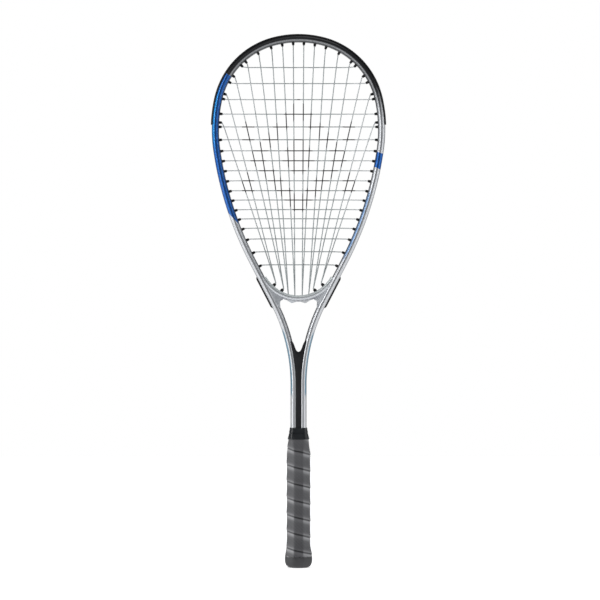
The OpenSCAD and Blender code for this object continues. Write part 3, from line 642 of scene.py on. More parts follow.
def slope_from_leg(skin, start, side):
    """Lets a web's two faces fall away from the leg towards the middle of the racket."""
    for i in range(start, len(skin.points)):
        x, y, z = skin.points[i]
        leg = along_straight((STRAIGHT_Z - z) / math.cos(LEAN))
        from_leg = max(0.0, leg[0] - HALF_W / math.cos(LEAN) - side * x) * math.cos(LEAN)
        skin.points[i] = (x, y * max(0.4, 1.0 - 0.055 * from_leg), z)


for n, _ in bar_outline * len(bar_rings):
    bridge.values.setdefault("band", []).append(BAR_END * n / BRIDGE_T)
for side in (-1, 1):
    start = len(bridge.points)
    plate(bridge, web_outline(side), 8.3)
    slope_from_leg(bridge, start, side)
    note_band(bridge, WEB)
    for depth in (-BRIDGE_D / 3.4, BRIDGE_D / 3.4):
        start = len(bridge.points)
        plate(bridge, boss_outline(side), 2.2, edge=0.5)
        for i in range(start, len(bridge.points)):
            x, y, z = bridge.points[i]
            bridge.points[i] = (x, y + depth, z)
note_band(bridge, BOSS)
throat_bridge = add_piece("throat_bridge_moulded", bridge.points, bridge.faces,
                          stands_for=["throat_bridge"], values=bridge.values)

# %% [markdown]
# The wedge is a black moulding pressed into the valley between the tubes. It shows as a narrow
# stripe down the shaft and forks into two arms at the crotch. It is a plate whose outline follows
# the inside of both bends, a little over the tubes' bevels.

# %% Throat wedge
WEDGE_LAP = 2.2
CROTCH_Z = NECK_Z + 42.3
ARM_Z = CROTCH_Z + 14
lap_radius = LEG_RADIUS + HALF_W - WEDGE_LAP
arm_angle = math.degrees(math.asin((ARM_Z - NECK_Z) / lap_radius))
wedge_side = [(LEG_X - HALF_W + WEDGE_LAP, 150.0), (LEG_X - HALF_W + WEDGE_LAP, 192.0)]
for k in range(17):
    s, c = sin_cos(arm_angle * k / 16)
    wedge_side.append((LEG_X + LEG_RADIUS - lap_radius * c, NECK_Z + lap_radius * s))
tip_x = wedge_side[-1][0]
wedge_side[-1] = (tip_x - 0.3, ARM_Z - 0.6)
inner_arm = [(tip_x - 1.4, ARM_Z), (tip_x - 2.8, ARM_Z - 1.2), (tip_x - 4.0, ARM_Z - 3.6),
             (5.3, CROTCH_Z + 8.2), (4.4, CROTCH_Z + 5.4), (3.5, CROTCH_Z + 3.2), (2.4, CROTCH_Z + 1.3),
             (1.2, CROTCH_Z + 0.3)]
wedge_right = wedge_side + inner_arm
wedge_loop = wedge_right + [(0.0, CROTCH_Z)] + [(-x, z) for x, z in reversed(wedge_right)]
wedge = Skin()
plate(wedge, wedge_loop, 8.9, edge=0.7)
throat_wedge = add_piece("throat_wedge_moulded", wedge.points, wedge.faces,
                         stands_for=["throat_wedge"])

# %% [markdown]
# The string bed is two long strings. The mains go up and down, and the crosses are woven over and
# under them, with one more turn round the outside of the frame between rows. Each string is given
# as points at its crossings, a smooth curve is passed through them, and a round section is swept
# along it. Crossing points lie on alternate sides of the middle plane, so the weave is real.

# %% String routes
STRING_R = 0.68
WEAVE = STRING_R + 0.02
CHANNEL_STAND = GROOVE_FLOOR + 0.05 + STRIP_FLOOR + STRING_R + 0.05
KNOT_STAND = CHANNEL_STAND + 1.2
main_tops = [off(rim_to(a), BEND_STAND, 0) for a in MAIN_ANGLES]


def main_bottom(i):
    x = BRIDGE_HOLES[i // 2]
    if i < 4:
        return x, bridge_top(x) + 0.9
    return x - (STUB + 0.9) * hole_s, bridge_top(x) - (STUB + 0.9) * hole_c


def main_x(i, z):
    (ax, _, az), (bx, bz) = main_tops[i], main_bottom(i)
    return bx + (ax - bx) * (z - bz) / (az - bz)


def crosses_main(i, k):
    return CROSS_Z[k] < main_tops[i][2] - 2.5


def sway(i, k):
    """Half of the weave's depth, less where two mains close up on one hole."""
    partner = i + 1 - 2 * (i % 2)
    return min(WEAVE, 0.12 * abs(main_x(i, CROSS_Z[k]) - main_x(partner, CROSS_Z[k])))


def lies_over(i, k, side):
    return side * (1 if (i + k) % 2 == 0 else -1)


def main_run(i, side):
    """Points of one main, from the outer channel at the crown to the far end of its bridge hole."""
    top, x = rim_to(MAIN_ANGLES[i]), BRIDGE_HOLES[i // 2]
    low_y = HOLE_Y * lies_over(i, len(CROSS_Z) - 1, side)
    points = [off(top, CHANNEL_STAND, HOLE_Y, side), off(top, BEND_STAND + 0.9, HOLE_Y, side)]
    points += [(side * main_x(i, z), lies_over(i, k, side) * (2 * WEAVE - sway(i, k)), z)
               for k, z in enumerate(CROSS_Z) if crosses_main(i, k)]
    bx, bz = main_bottom(i)
    points.append((side * bx, low_y, bz))
    if i < 4:
        points.append((side * x, low_y, bridge_under(x) - 0.15))
    else:
        reach = throat_hole_length(x) + CHANNEL_STAND - GROOVE_FLOOR
        points.append((side * (x + reach * hole_s), low_y, bridge_top(x) + reach * hole_c))
    return points


def main_route(side):
    """One half of the main string: down and up through the holes in the order they are strung."""
    def loop(a, b):
        first, last = MAIN_ANGLES[a], MAIN_ANGLES[b]
        return [off(rim_to(first + (last - first) * f), CHANNEL_STAND, HOLE_Y, side)
                for f in (0.2, 0.4, 0.6, 0.8)]

    runs = [main_run(i, side) for i in range(8)]
    return (runs[0] + runs[2][::-1] + loop(2, 1) + runs[1] + runs[3][::-1] + loop(3, 4)
            + runs[4] + runs[6][::-1] + loop(6, 5) + runs[5] + runs[7][::-1]
            + [off(rim_to(MAIN_ANGLES[7]), KNOT_STAND + 0.7, HOLE_Y, side)])


def cross_half(k, side):
    z, foot = CROSS_Z[k], cross_feet[k]
    points = [(side * main_x(i, z), -lies_over(i, k, side) * sway(i, k), z)
              for i in range(8) if crosses_main(i, k)]
    return points + [off(foot, BEND_STAND + 0.9, -HOLE_Y, side), off(foot, CHANNEL_STAND, -HOLE_Y, side)]


def cross_route():
    route = [off(cross_feet[0], KNOT_STAND + 0.7, -HOLE_Y, -1)]
    for k in range(len(CROSS_Z)):
        row = cross_half(k, -1)[::-1] + cross_half(k, 1)
        route += row if k % 2 == 0 else row[::-1]
        if k < len(CROSS_Z) - 1:
            for f in (0.25, 0.5, 0.75):
                foot = rim_at(CROSS_Z[k] * (1 - f) + CROSS_Z[k + 1] * f, BEND_STAND)
                route.append(off(foot, CHANNEL_STAND, -HOLE_Y, 1 if k % 2 == 0 else -1))
    return route


# %% Sweeping the strings
STRING_SIDES, STRING_PARTS = 10, 3


def smooth_line(points):
    """Curve through the points whose sideways swing eases in and out between them."""
    line = []
    for a, b in zip(points, points[1:]):
        for k in range(STRING_PARTS):
            f = k / STRING_PARTS
            ease = f * f * (3 - 2 * f)
            line.append(Vector((a[0] + (b[0] - a[0]) * f, a[1] + (b[1] - a[1]) * ease,
                                a[2] + (b[2] - a[2]) * f)))
    return line + [Vector(points[-1])]


def sweep_string(skin, points):
    line = smooth_line(points)
    rings = []
    for j, here in enumerate(line):
        before = (line[max(j, 1)] - line[max(j, 1) - 1]).normalized()
        after = (line[min(j + 1, len(line) - 1)] - line[min(j + 1, len(line) - 1) - 1]).normalized()
        along = before + after
        along = along.normalized() if along.length > 0.05 else after
        across = along.cross(Vector((0, 1, 0))).normalized()
        up = across.cross(along)
        mitre = min(1.5, 1 / max(0.1, before.dot(along)))
        rings.append([
            here + STRING_R * (mitre * math.cos(t) * across + math.sin(t) * up)
            for t in (2 * math.pi * s / STRING_SIDES for s in range(STRING_SIDES))
        ])
    skin.rings(rings)


def knot(skin, place, direction):
    turned(skin, place, direction,
           [(STRING_R + 0.5 + 0.5 * math.cos(t), 0.5 * math.sin(t))
            for t in (2 * math.pi * k / 8 for k in range(8))])


mains = Skin()
over_crown = [off(rim_to(0), CHANNEL_STAND, HOLE_Y)]
sweep_string(mains, main_route(-1)[::-1] + over_crown + main_route(1))
last_main = rim_to(MAIN_ANGLES[-1])
for side in (-1, 1):
    s, c = sin_cos(last_main[2])
    knot(mains, off(last_main, KNOT_STAND, HOLE_Y, side), (side * s, 0, c))
main_string = add_piece("main_string_woven", mains.points, mains.faces,
                        stands_for=["main_string"])

crosses = Skin()
sweep_string(crosses, cross_route())
for foot, stand in ((cross_feet[0], KNOT_STAND), (cross_feet[-1], CHANNEL_STAND - 0.1)):
    s, c = sin_cos(foot[2])
    knot(crosses, off(foot, stand, -HOLE_Y, -1), (-s, 0, c))
cross_string = add_piece("cross_string_woven", crosses.points, crosses.faces,
                         stands_for=["cross_string"])

# %% [markdown]
# The handle is eight-sided. Its sections are octagons with softened corners, given by half width,
# half depth and the half lengths of the front and side flats. Every ring has the same number of
# points, so rings of different sizes can be joined, and extra points on the flats let the wrap's
# edges run round the handle.

# %% Eight-sided rings
GRIP_T = 1.8
TAPER_START, GRIP_TOP = 146, 167
BUTT_FLARE = 17.6 - 15 + GRIP_T
CUT_W, CUT_D = 8.6, 7.2
CUT_DIAGONAL = math.hypot(CUT_W, CUT_D)


def grip_section(t):
    w, d = 15 - GRIP_T, 13.2 - GRIP_T
    return (w + t, d + t, w - CUT_W + t * (CUT_DIAGONAL - CUT_W) / CUT_D,
            d - CUT_D + t * (CUT_DIAGONAL - CUT_D) / CUT_W)


def shaft_section(t):
    return LEG_X + HALF_W + t, HALF_D + t, LEG_X + 1.3 + 0.45 * t, HALF_D * 0.6 + 0.45 * t


def mix_sections(a, b, f):
    return tuple(p * (1 - f) + q * f for p, q in zip(a, b))


def section_between(stack, z):
    """Section at a height, from a rising list of (height, section)."""
    for (z0, s0), (z1, s1) in zip(stack, stack[1:]):
        if z <= z1:
            return mix_sections(s0, s1, max(0.0, (z - z0) / (z1 - z0)))
    return stack[-1][1]


FLAT_PARTS, ARC_PARTS = 3, 4


def octagon(section, radius):
    """Ring of (x, y) points that starts at the middle of the right flat and turns towards +Y."""
    w, d, fw, fd = section
    corners = [(w, fd), (fw, d), (-fw, d), (-w, fd), (-w, -fd), (-fw, -d), (fw, -d), (w, -fd)]
    arcs = rounded([(x, y, radius) for x, y in corners], steps=ARC_PARTS)
    ring = []
    for i in range(0, len(arcs), ARC_PARTS + 1):
        start, end = Vector(arcs[i - 1]), Vector(arcs[i])
        ring += [tuple(start.lerp(end, k / (FLAT_PARTS + 1))) for k in range(1, FLAT_PARTS + 1)]
        ring += arcs[i:i + ARC_PARTS + 1]
    return ring


def around(section, radius):
    """The same ring with the share of the way round at each point."""
    ring = octagon(section, radius)
    lengths = [0.0]
    for a, b in zip(ring, ring[1:] + ring[:1]):
        lengths.append(lengths[-1] + math.dist(a, b))
    return ring, [length / lengths[-1] for length in lengths[:-1]], lengths[-1]


print("grip measures", round(around(grip_section(GRIP_T), 2.2)[2], 1), "mm round")

# %% [markdown]
# The grip is a band wound up the handle, and each turn lies over the edge of the turn below. The
# overlap is the grip's main feature, so it is modelled: the mesh is itself a helix, one strip that
# climbs one pitch in each turn, with its rows parallel to the band's edges. The lower edge of each
# turn stands proud and the rest of the band slopes back to the handle, which a straight stack of
# rings could only show as a staircase.

# %% Wound grip
PITCH = 21.3
SEAM_ON_FRONT = 43.2
GRIP_BOTTOM = 14
grip_stack = [
    (GRIP_BOTTOM, grip_section(BUTT_FLARE - 0.15)), (GRIP_BOTTOM + 5, grip_section(BUTT_FLARE - 0.8)),
    (24, grip_section(GRIP_T + 0.9)), (29, grip_section(GRIP_T + 0.05)), (60, grip_section(GRIP_T)),
    (TAPER_START, grip_section(GRIP_T)), (GRIP_TOP, shaft_section(2.35)),
]
# share of the band's width from its lower edge, and how far its surface stands out there
BAND = [(0.0, -0.5), (0.012, 0.1), (0.03, 0.4), (0.07, 0.48), (0.16, 0.36), (0.26, 0.16), (0.4, 0.0),
        (0.55, -0.04), (0.7, 0.0), (0.82, 0.06), (0.9, 0.06), (0.96, -0.14), (1.0, -0.5)]
# how deep in the crevice between two turns each of those lines lies, which sets its painted shade, and how
# much painted highlight it catches
CREVICE_SHADE = [1.0, 0.9, 0.45, 0.0, 0.0, 0.0, 0.0, 0.0, 0.0, 0.0, 0.05, 0.8, 1.0]
CATCHES_LIGHT = [0.0, 0.1, 0.5, 0.5, 0.1, 0.0, 0.0, 0.0, 0.1, 0.6, 1.0, 0.2, 0.0]
GRIP_CORNER = 2.4
base_ring, base_shares, _ = around(grip_section(GRIP_T), GRIP_CORNER)
columns = len(base_ring)
FRONT_SHARE = 0.25


def grip_point(turn, column, across):
    """Point of the wound band: turn counts whole turns, column the place round the handle."""
    share = base_shares[column]
    climb = turn + share - FRONT_SHARE
    z = SEAM_ON_FRONT + PITCH * (climb + across[0])
    z = min(max(z, GRIP_BOTTOM), GRIP_TOP)
    section = section_between(grip_stack, z)
    soft_start = min(1.0, (z - GRIP_BOTTOM) / 3, (GRIP_TOP - z) / 3)
    proud = across[1] * soft_start
    w, d, fw, fd = section
    x, y = octagon((w + proud, d + proud, fw + proud * 0.4, fd + proud * 0.4), GRIP_CORNER)[column]
    return x, -y, z


grip = Skin()
rows = len(BAND)
TURNS = range(-3, 7)
for turn in TURNS:
    for column in range(columns):
        grip.points += [grip_point(turn, column, across) for across in BAND]
    grip.points += [grip_point(turn + 1, 0, across) for across in BAND]
    start = len(grip.points) - (columns + 1) * rows
    for column in range(columns):
        a, b = start + column * rows, start + (column + 1) * rows
        grip.faces += [(a + r, b + r, b + r + 1, a + r + 1) for r in range(rows - 1)]
top_ring = octagon(shaft_section(0.6), 1.4)
outer_ring = octagon(section_between(grip_stack, GRIP_TOP), GRIP_CORNER)
turns = len(grip.points) // rows
grip.values = {"crevice": CREVICE_SHADE * turns, "catches_light": CATCHES_LIGHT * turns}
grip.rings([[(x, y, GRIP_TOP) for x, y in outer_ring], [(x, y, GRIP_TOP - 0.1) for x, y in top_ring]],
           caps=False)
for key in grip.values:
    grip.values[key] += [0.0] * (2 * len(outer_ring))
grip_wrap = add_piece("grip_band", grip.points, grip.faces, stands_for=["grip_wrap"],
                      sharp=math.radians(38), values=grip.values)

# %% [markdown]
# The butt cap is a soft dark plastic cup with a flared, rounded end. A shallow round recess in its
# end holds a plain disc. Cap, disc and collar are all stacks of rings; the collar has a raised lip
# at the top and a fine groove under it, and it stays its own piece because it slides up the shaft.

# %% Butt cap and disc
cap_levels = [
    (0.0, BUTT_FLARE - 7.0), (0.35, BUTT_FLARE - 5.4), (1.0, BUTT_FLARE - 4.2), (1.9, BUTT_FLARE - 3.0),
    (3.0, BUTT_FLARE - 1.95), (4.4, BUTT_FLARE - 1.15), (6.2, BUTT_FLARE - 0.55), (8.4, BUTT_FLARE - 0.15),
    (11.0, BUTT_FLARE), (13.0, BUTT_FLARE - 0.05), (13.7, BUTT_FLARE - 0.25), (13.95, BUTT_FLARE - 0.8),
    (14.0, BUTT_FLARE - 1.6), (16.0, BUTT_FLARE - 1.9),
]


def circle(radius):
    return [(radius * sin_cos(360 * share)[1], radius * sin_cos(360 * share)[0]) for share in base_shares]


cap = Skin()
CAP_CORNER = 4.0
cap_rings = [[(x, y, 1.0) for x, y in circle(0.4)], [(x, y, 1.0) for x, y in circle(7.05)],
             [(x, y, 0.25) for x, y in circle(7.05)], [(x, y, 0.0) for x, y in circle(7.35)]]
cap_rings += [[(x, y, z) for x, y in octagon(grip_section(t), CAP_CORNER)] for z, t in cap_levels]
cap.rings(cap_rings)
butt_cap = add_piece("butt_cap_moulded", cap.points, cap.faces, stands_for=["butt_cap"])

disc = Skin()
disc_section = [(0.0, 0.98), (6.95, 0.98), (6.95, 0.6), (6.7, 0.38), (6.2, 0.34), (5.8, 0.44), (5.4, 0.44),
                (5.0, 0.34), (2.5, 0.26), (0.0, 0.24)]
disc_rings = [[(r * sin_cos(10 * k)[1], r * sin_cos(10 * k)[0], z) for k in range(36)]
              for r, z in disc_section]
disc.rings(disc_rings, caps=False)
butt_badge = add_piece("butt_disc", disc.points, disc.faces, stands_for=["butt_badge"])

# %% Sliding collar
TAPE_T = 0.3
SLIDE_GAP = 0.3
skirt = shaft_section(2.5 + TAPE_T + SLIDE_GAP + 0.5)
collar_levels = [
    (165.3, shaft_section(3.1)), (165.3, mix_sections(skirt, shaft_section(2.4), 0.15)), (165.6, skirt),
    (167.5, shaft_section(3.12)), (169.5, shaft_section(2.55)), (171.5, shaft_section(2.1)),
    (172.6, shaft_section(1.9)), (172.9, shaft_section(1.5)), (173.4, shaft_section(1.45)),
    (173.7, shaft_section(1.85)), (174.6, shaft_section(1.78)), (176.6, shaft_section(1.3)),
    (177.6, shaft_section(1.05)), (178.2, shaft_section(1.1)), (179.3, shaft_section(1.02)),
    (179.8, shaft_section(0.85)), (180.0, shaft_section(0.6)), (180.0, shaft_section(0.3)),
    (177.0, shaft_section(0.3)),
]
collar = Skin()
collar.rings([[(x, y, z) for x, y in octagon(s, 2.0)] for z, s in collar_levels], caps=False)
grip_collar = add_piece("rubber_collar", collar.points, collar.faces, body="collar",
                        stands_for=["grip_collar"])

# %% [markdown]
# Finishes come next. Several of them share two effects: a fine moulded or rolled grain, and sparse
# scuffs from use. Each effect is a node group with its own inputs, so one recipe serves every
# material at a different scale. The groups read object coordinates, which move with a piece, so
# the texture never slides.

# %% Shared effects


def new_group(name, inputs, outputs):
    group = bpy.data.node_groups.new(name, "ShaderNodeTree")
    for socket, value in inputs:
        made = group.interface.new_socket(socket, in_out="INPUT", socket_type="NodeSocketFloat")
        made.default_value = value
    for socket, kind in outputs:
        group.interface.new_socket(socket, in_out="OUTPUT", socket_type=kind)
    return group, group.nodes.new("NodeGroupInput"), group.nodes.new("NodeGroupOutput")


def maths(tree, operation, a, b=None, clamp=False):
    """Math node. a and b are sockets or numbers."""
    node = tree.nodes.new("ShaderNodeMath")
    node.operation = operation
    node.use_clamp = clamp
    for socket, value in zip(node.inputs, (a, b)):
        if value is None:
            continue
        if isinstance(value, (int, float)):
            socket.default_value = value
        else:
            tree.links.new(value, socket)
    return node.outputs[0]


def ramp(tree, value, low, high, out_low=0.0, out_high=1.0):
    """Smooth step from out_low at low to out_high at high."""
    node = tree.nodes.new("ShaderNodeMapRange")
    node.interpolation_type = "SMOOTHSTEP"
    tree.links.new(value, node.inputs["Value"])
    for key, number in (("From Min", low), ("From Max", high), ("To Min", out_low), ("To Max", out_high)):
        node.inputs[key].default_value = number
    return node.outputs["Result"]


def noise(tree, vector, scale, detail, rough=0.5):
    node = tree.nodes.new("ShaderNodeTexNoise")
    node.inputs["Detail"].default_value = detail
    node.inputs["Roughness"].default_value = rough
    tree.links.new(vector, node.inputs["Vector"])
    if isinstance(scale, (int, float)):
        node.inputs["Scale"].default_value = scale
    else:
        tree.links.new(scale, node.inputs["Scale"])
    return node.outputs["Fac"]


def object_coords(tree):
    return tree.nodes.new("ShaderNodeTexCoord").outputs["Object"]


def grain_group():
    """Fine grain: a height for bump and a slow change of tone."""
    group, given, result = new_group(
        "fine_grain", [("Grain Scale", 1500.0), ("Tone Scale", 60.0)],
        [("Height", "NodeSocketFloat"), ("Tone", "NodeSocketFloat")])
    place = object_coords(group)
    fine = noise(group, place, given.outputs["Grain Scale"], 2.0, 0.6)
    slow = noise(group, place, given.outputs["Tone Scale"], 3.0, 0.55)
    group.links.new(fine, result.inputs["Height"])
    group.links.new(ramp(group, slow, 0.3, 0.7), result.inputs["Tone"])
    return group


def scuff_group():
    """Sparse thin scuffs: 1 on a scuff, 0 elsewhere."""
    group, given, result = new_group(
        "thin_scuffs", [("Scuff Scale", 120.0), ("Threshold", 0.66)], [("Mask", "NodeSocketFloat")])
    place = object_coords(group)
    stretch = group.nodes.new("ShaderNodeMapping")
    stretch.inputs["Rotation"].default_value = (0.3, 0.5, 0.4)
    stretch.inputs["Scale"].default_value = (1.0, 1.0, 0.12)
    group.links.new(place, stretch.inputs["Vector"])
    lines = noise(group, stretch.outputs[0], given.outputs["Scuff Scale"], 4.0, 0.7)
    patches = noise(group, place, 25.0, 2.0)
    strong = maths(group, "MULTIPLY", lines, ramp(group, patches, 0.4, 0.65, 0.85, 1.1))
    over = maths(group, "SUBTRACT", strong, given.outputs["Threshold"])
    group.links.new(maths(group, "MULTIPLY", over, 14.0, clamp=True), result.inputs["Mask"])
    return group


FINE_GRAIN = grain_group()
THIN_SCUFFS = scuff_group()


def start_material(name, **sockets):
    """Material with its Principled BSDF's plain sockets set. Returns the material, tree and shader."""
    material = bpy.data.materials.new(name)
    material.use_nodes = True
    shader = material.node_tree.nodes["Principled BSDF"]
    for key, value in sockets.items():
        shader.inputs[key.replace("_", " ")].default_value = value
    return material, material.node_tree, shader


def use_group(tree, group, **values):
    node = tree.nodes.new("ShaderNodeGroup")
    node.node_tree = group
    for key, value in values.items():
        node.inputs[key.replace("_", " ")].default_value = value
    return node


def blend_colours(tree, factor, first, second):
    node = tree.nodes.new("ShaderNodeMix")
    node.data_type = "RGBA"
    if isinstance(factor, (int, float)):
        node.inputs["Factor"].default_value = factor
    else:
        tree.links.new(factor, node.inputs["Factor"])
    for key, colour in (("A", first), ("B", second)):
        socket = [s for s in node.inputs if s.name == key and s.type == "RGBA"][0]
        if isinstance(colour, tuple):
            socket.default_value = (*colour, 1)
        else:
            tree.links.new(colour, socket)
    return [s for s in node.outputs if s.type == "RGBA"][0]


def bump(tree, shader, height, distance, strength=1.0):
    node = tree.nodes.new("ShaderNodeBump")
    node.inputs["Distance"].default_value = distance
    node.inputs["Strength"].default_value = strength
    tree.links.new(height, node.inputs["Height"])
    tree.links.new(node.outputs["Normal"], shader.inputs["Normal"])


def dress(material, *pieces):
    for piece in pieces:
        piece.data.materials.clear()
        piece.data.materials.append(material)


print("shared effects:", [g.name for g in (FINE_GRAIN, THIN_SCUFFS)])

# %% [markdown]
# The tube is sprayed in metallic silver, with a blue side, a black crown and a few blue accents,
# all under one clear coat. The same masks also paint light and shade into the colour: a painted
# highlight on the blue outer bevel, a painted reflection band on the crown's inner bevel, painted
# shade on the right side's inner bevel, and painted shade and dark reflections on the side faces
# and along the crest. The zones are masks made from two numbers that each point carries: the
# height of its station and how far it stands outward. That lets a colour end square across the
# tube, or keep to one bevel, as masking tape does in the paint shop. Fine flake in the paint comes
# from a cell texture that shifts tone and roughness a little.

# %% Frame paint
SILVER = (0.52, 0.53, 0.55)
BLUE = (0.001, 0.088, 0.36)
# Lighter blue used as a painted highlight on the blue side's outer bevel.
BLUE_BEVEL_HIGHLIGHT = (0.003, 0.2, 0.52)
BLACK_PAINT = (0.012, 0.012, 0.014)
# Grey of the painted reflection band on the crown's inner bevel.
CROWN_REFLECTION_GREY = (0.24, 0.245, 0.255)
TEAL = (0.05, 0.19, 0.29)
# Blue-grey painted shade for the right side's inner bevel.
BEVEL_SHADE_BLUE_GREY = (0.12, 0.25, 0.47)
# Near-black of the painted shade on the tube's side faces and along its crest.
EDGE_SHADE_COLOUR = (0.02, 0.022, 0.026)
# heights in millimetres where a colour starts or ends
BLUE_START, CROWN_START = 448.0, 633.4
ACCENT = (513.4, 533.2)


def zone(tree, value, low, high, soft):
    """1 between low and high."""
    return maths(tree, "MULTIPLY", ramp(tree, value, low - soft, low + soft),
                 ramp(tree, value, high - soft, high + soft, 1.0, 0.0))


def attribute(tree, name):
    node = tree.nodes.new("ShaderNodeAttribute")
    node.attribute_name = name
    return node.outputs["Fac"]


paint, tree, shader = start_material("frame_paint_zones", Metallic=0.72, Coat_Weight=0.4,
                                     Coat_Roughness=0.1)
height = attribute(tree, "station_height")
outward = attribute(tree, "outward")
split = tree.nodes.new("ShaderNodeSeparateXYZ")
tree.links.new(object_coords(tree), split.inputs[0])
on_right = ramp(tree, split.outputs["X"], -0.002, 0.002)
on_left = maths(tree, "SUBTRACT", 1.0, on_right)

slanted = maths(tree, "ADD", height, maths(tree, "MULTIPLY", outward, -2.2))
crown_all = ramp(tree, height, CROWN_START - 0.4, CROWN_START + 0.4)
below_crown = ramp(tree, height, CROWN_START - 0.4, CROWN_START + 0.4, 1.0, 0.0)
side_blue = maths(tree, "MULTIPLY", ramp(tree, slanted, BLUE_START - 1, BLUE_START + 1), below_crown)
side_blue = maths(tree, "MULTIPLY", on_left, side_blue)
# Painted highlight: between these heights the blue side's outer bevel is painted a lighter blue, as if lit.
blue_highlight_mask = maths(tree, "MULTIPLY", zone(tree, height, 545, 608, 16), ramp(tree, outward, 0.2, 2.2))
band_height = maths(tree, "ADD", height, maths(tree, "MULTIPLY", outward, 0.2))
band_blue = maths(tree, "MULTIPLY", on_right, zone(tree, band_height, *ACCENT, 0.4))
crown_right = maths(tree, "MULTIPLY", on_right, ramp(tree, height, 566.0, 622.0))
# Painted shade: between these heights the right side's inner bevel is darkened to a blue-grey.
inner_bevel = ramp(tree, outward, -0.8, -1.5)
inner_bevel_shade = maths(tree, "MULTIPLY", maths(tree, "MULTIPLY", on_right, inner_bevel),
                  zone(tree, height, 397, 482, 7))
outer_bevel = ramp(tree, outward, 1.9, 2.9)
leg_left = maths(tree, "MULTIPLY", on_left, zone(tree, height, 222, 306, 5))
leg_right = maths(tree, "MULTIPLY", on_right, zone(tree, height, 222, 302, 5))
leg_teal = maths(tree, "MULTIPLY", outer_bevel, maths(tree, "ADD", leg_left, leg_right))

blue = blend_colours(tree, blue_highlight_mask, BLUE, BLUE_BEVEL_HIGHLIGHT)
colour = blend_colours(tree, maths(tree, "MULTIPLY", leg_teal, 0.8), SILVER, TEAL)
colour = blend_colours(tree, maths(tree, "MULTIPLY", inner_bevel_shade, 0.85), colour, BEVEL_SHADE_BLUE_GREY)
colour = blend_colours(tree, side_blue, colour, blue)
colour = blend_colours(tree, band_blue, colour, BLUE)
# Black crown paint with a painted reflection: a lighter grey band along the inner bevel.
crown_black_and_reflection = blend_colours(tree, zone(tree, outward, -3.3, -1.4, 0.5), BLACK_PAINT, CROWN_REFLECTION_GREY)
colour = blend_colours(tree, crown_right, colour, crown_black_and_reflection)
colour = blend_colours(tree, crown_all, colour, crown_black_and_reflection)

# Painted shade and dark painted reflection: the tube's inner and outer side faces and a line along the crest
# are darkened.
inner_face_shade = ramp(tree, outward, -2.9, -3.7, 0.0, 0.78)
outer_face_shade = ramp(tree, outward, 3.2, 4.0, 0.0, 0.52)
crest_dark_reflection = zone(tree, outward, -0.35, 0.5, 0.35)
crest_dark_reflection = maths(tree, "MULTIPLY", crest_dark_reflection, 0.72)
edges = maths(tree, "ADD", maths(tree, "ADD", inner_face_shade, outer_face_shade), crest_dark_reflection)
colour = blend_colours(tree, edges, colour, EDGE_SHADE_COLOUR)

flake = tree.nodes.new("ShaderNodeTexVoronoi")
flake.inputs["Scale"].default_value = 2600
tree.links.new(object_coords(tree), flake.inputs["Vector"])
glint = ramp(tree, flake.outputs["Distance"], 0.0, 0.9, 0.88, 1.1)
shade = tree.nodes.new("ShaderNodeHueSaturation")
tree.links.new(glint, shade.inputs["Value"])
tree.links.new(colour, shade.inputs["Color"])
scuffs = use_group(tree, THIN_SCUFFS, Scuff_Scale=160.0, Threshold=0.74)
worn = blend_colours(tree, maths(tree, "MULTIPLY", scuffs.outputs["Mask"], 0.12),
                     shade.outputs["Color"], (0.5, 0.5, 0.5))
tree.links.new(worn, shader.inputs["Base Color"])
grain = use_group(tree, FINE_GRAIN, Grain_Scale=1800.0, Tone_Scale=45.0)
tree.links.new(ramp(tree, grain.outputs["Tone"], 0.0, 1.0, 0.34, 0.4), shader.inputs["Roughness"])
bump(tree, shader, grain.outputs["Height"], 0.004 * MM, 0.3)
dress(paint, frame_tube)
print("paint zones ready")

# %% [markdown]
# Moulded pieces share a builder: a base colour that changes slowly, a roughness that follows it,
# a fine grain in the surface, and scuffs that lighten dark plastic. Each call gives one material its
# own colour, gloss and grain.

# %% Moulded plastics and rubber


def moulded(name, colour, lighter, rough, grain_scale, depth, scuff=0.2, **sockets):
    """Moulded material. depth is the grain's height in millimetres."""
    material, tree, shader = start_material(name, **sockets)
    grain = use_group(tree, FINE_GRAIN, Grain_Scale=grain_scale, Tone_Scale=70.0)
    scuffs = use_group(tree, THIN_SCUFFS, Scuff_Scale=140.0, Threshold=0.7)
    toned = blend_colours(tree, grain.outputs["Tone"], colour, lighter)
    marked = blend_colours(tree, maths(tree, "MULTIPLY", scuffs.outputs["Mask"], scuff), toned,
                           tuple(min(1.0, c * 2 + 0.06) for c in lighter))
    tree.links.new(marked, shader.inputs["Base Color"])
    tree.links.new(ramp(tree, grain.outputs["Tone"], 0.0, 1.0, rough, rough + 0.12),
                   shader.inputs["Roughness"])
    bump(tree, shader, grain.outputs["Height"], depth * MM)
    return material


guard_black = moulded("guard_nylon", (0.004, 0.004, 0.005), (0.008, 0.008, 0.009), 0.42, 900.0, 0.03,
                      scuff=0.08, Specular_IOR_Level=0.22)
guards = ("bumper_", "side_strip_", "throat_strip_cover_")
dress(guard_black, *[o for o in scene.objects if o.name.startswith(guards)])
wedge_black = moulded("wedge_plastic", (0.005, 0.005, 0.007), (0.009, 0.009, 0.011), 0.4, 1100.0, 0.03,
                      scuff=0.1, Specular_IOR_Level=0.25)
dress(wedge_black, throat_wedge)
cap_grey = moulded("cap_soft_plastic", (0.024, 0.024, 0.026), (0.042, 0.042, 0.045), 0.5, 700.0, 0.05,
                   scuff=0.25)
dress(cap_grey, butt_cap)
collar_black = moulded("collar_rubber_sheen", (0.003, 0.004, 0.006), (0.006, 0.008, 0.01), 0.28, 1000.0,
                       0.02, scuff=0.06, Specular_IOR_Level=0.35)
dress(collar_black, grip_collar)
disc_grey = moulded("disc_gloss", (0.07, 0.075, 0.08), (0.09, 0.095, 0.1), 0.2, 1200.0, 0.01)
dress(disc_grey, butt_badge)
print("moulded finishes ready")
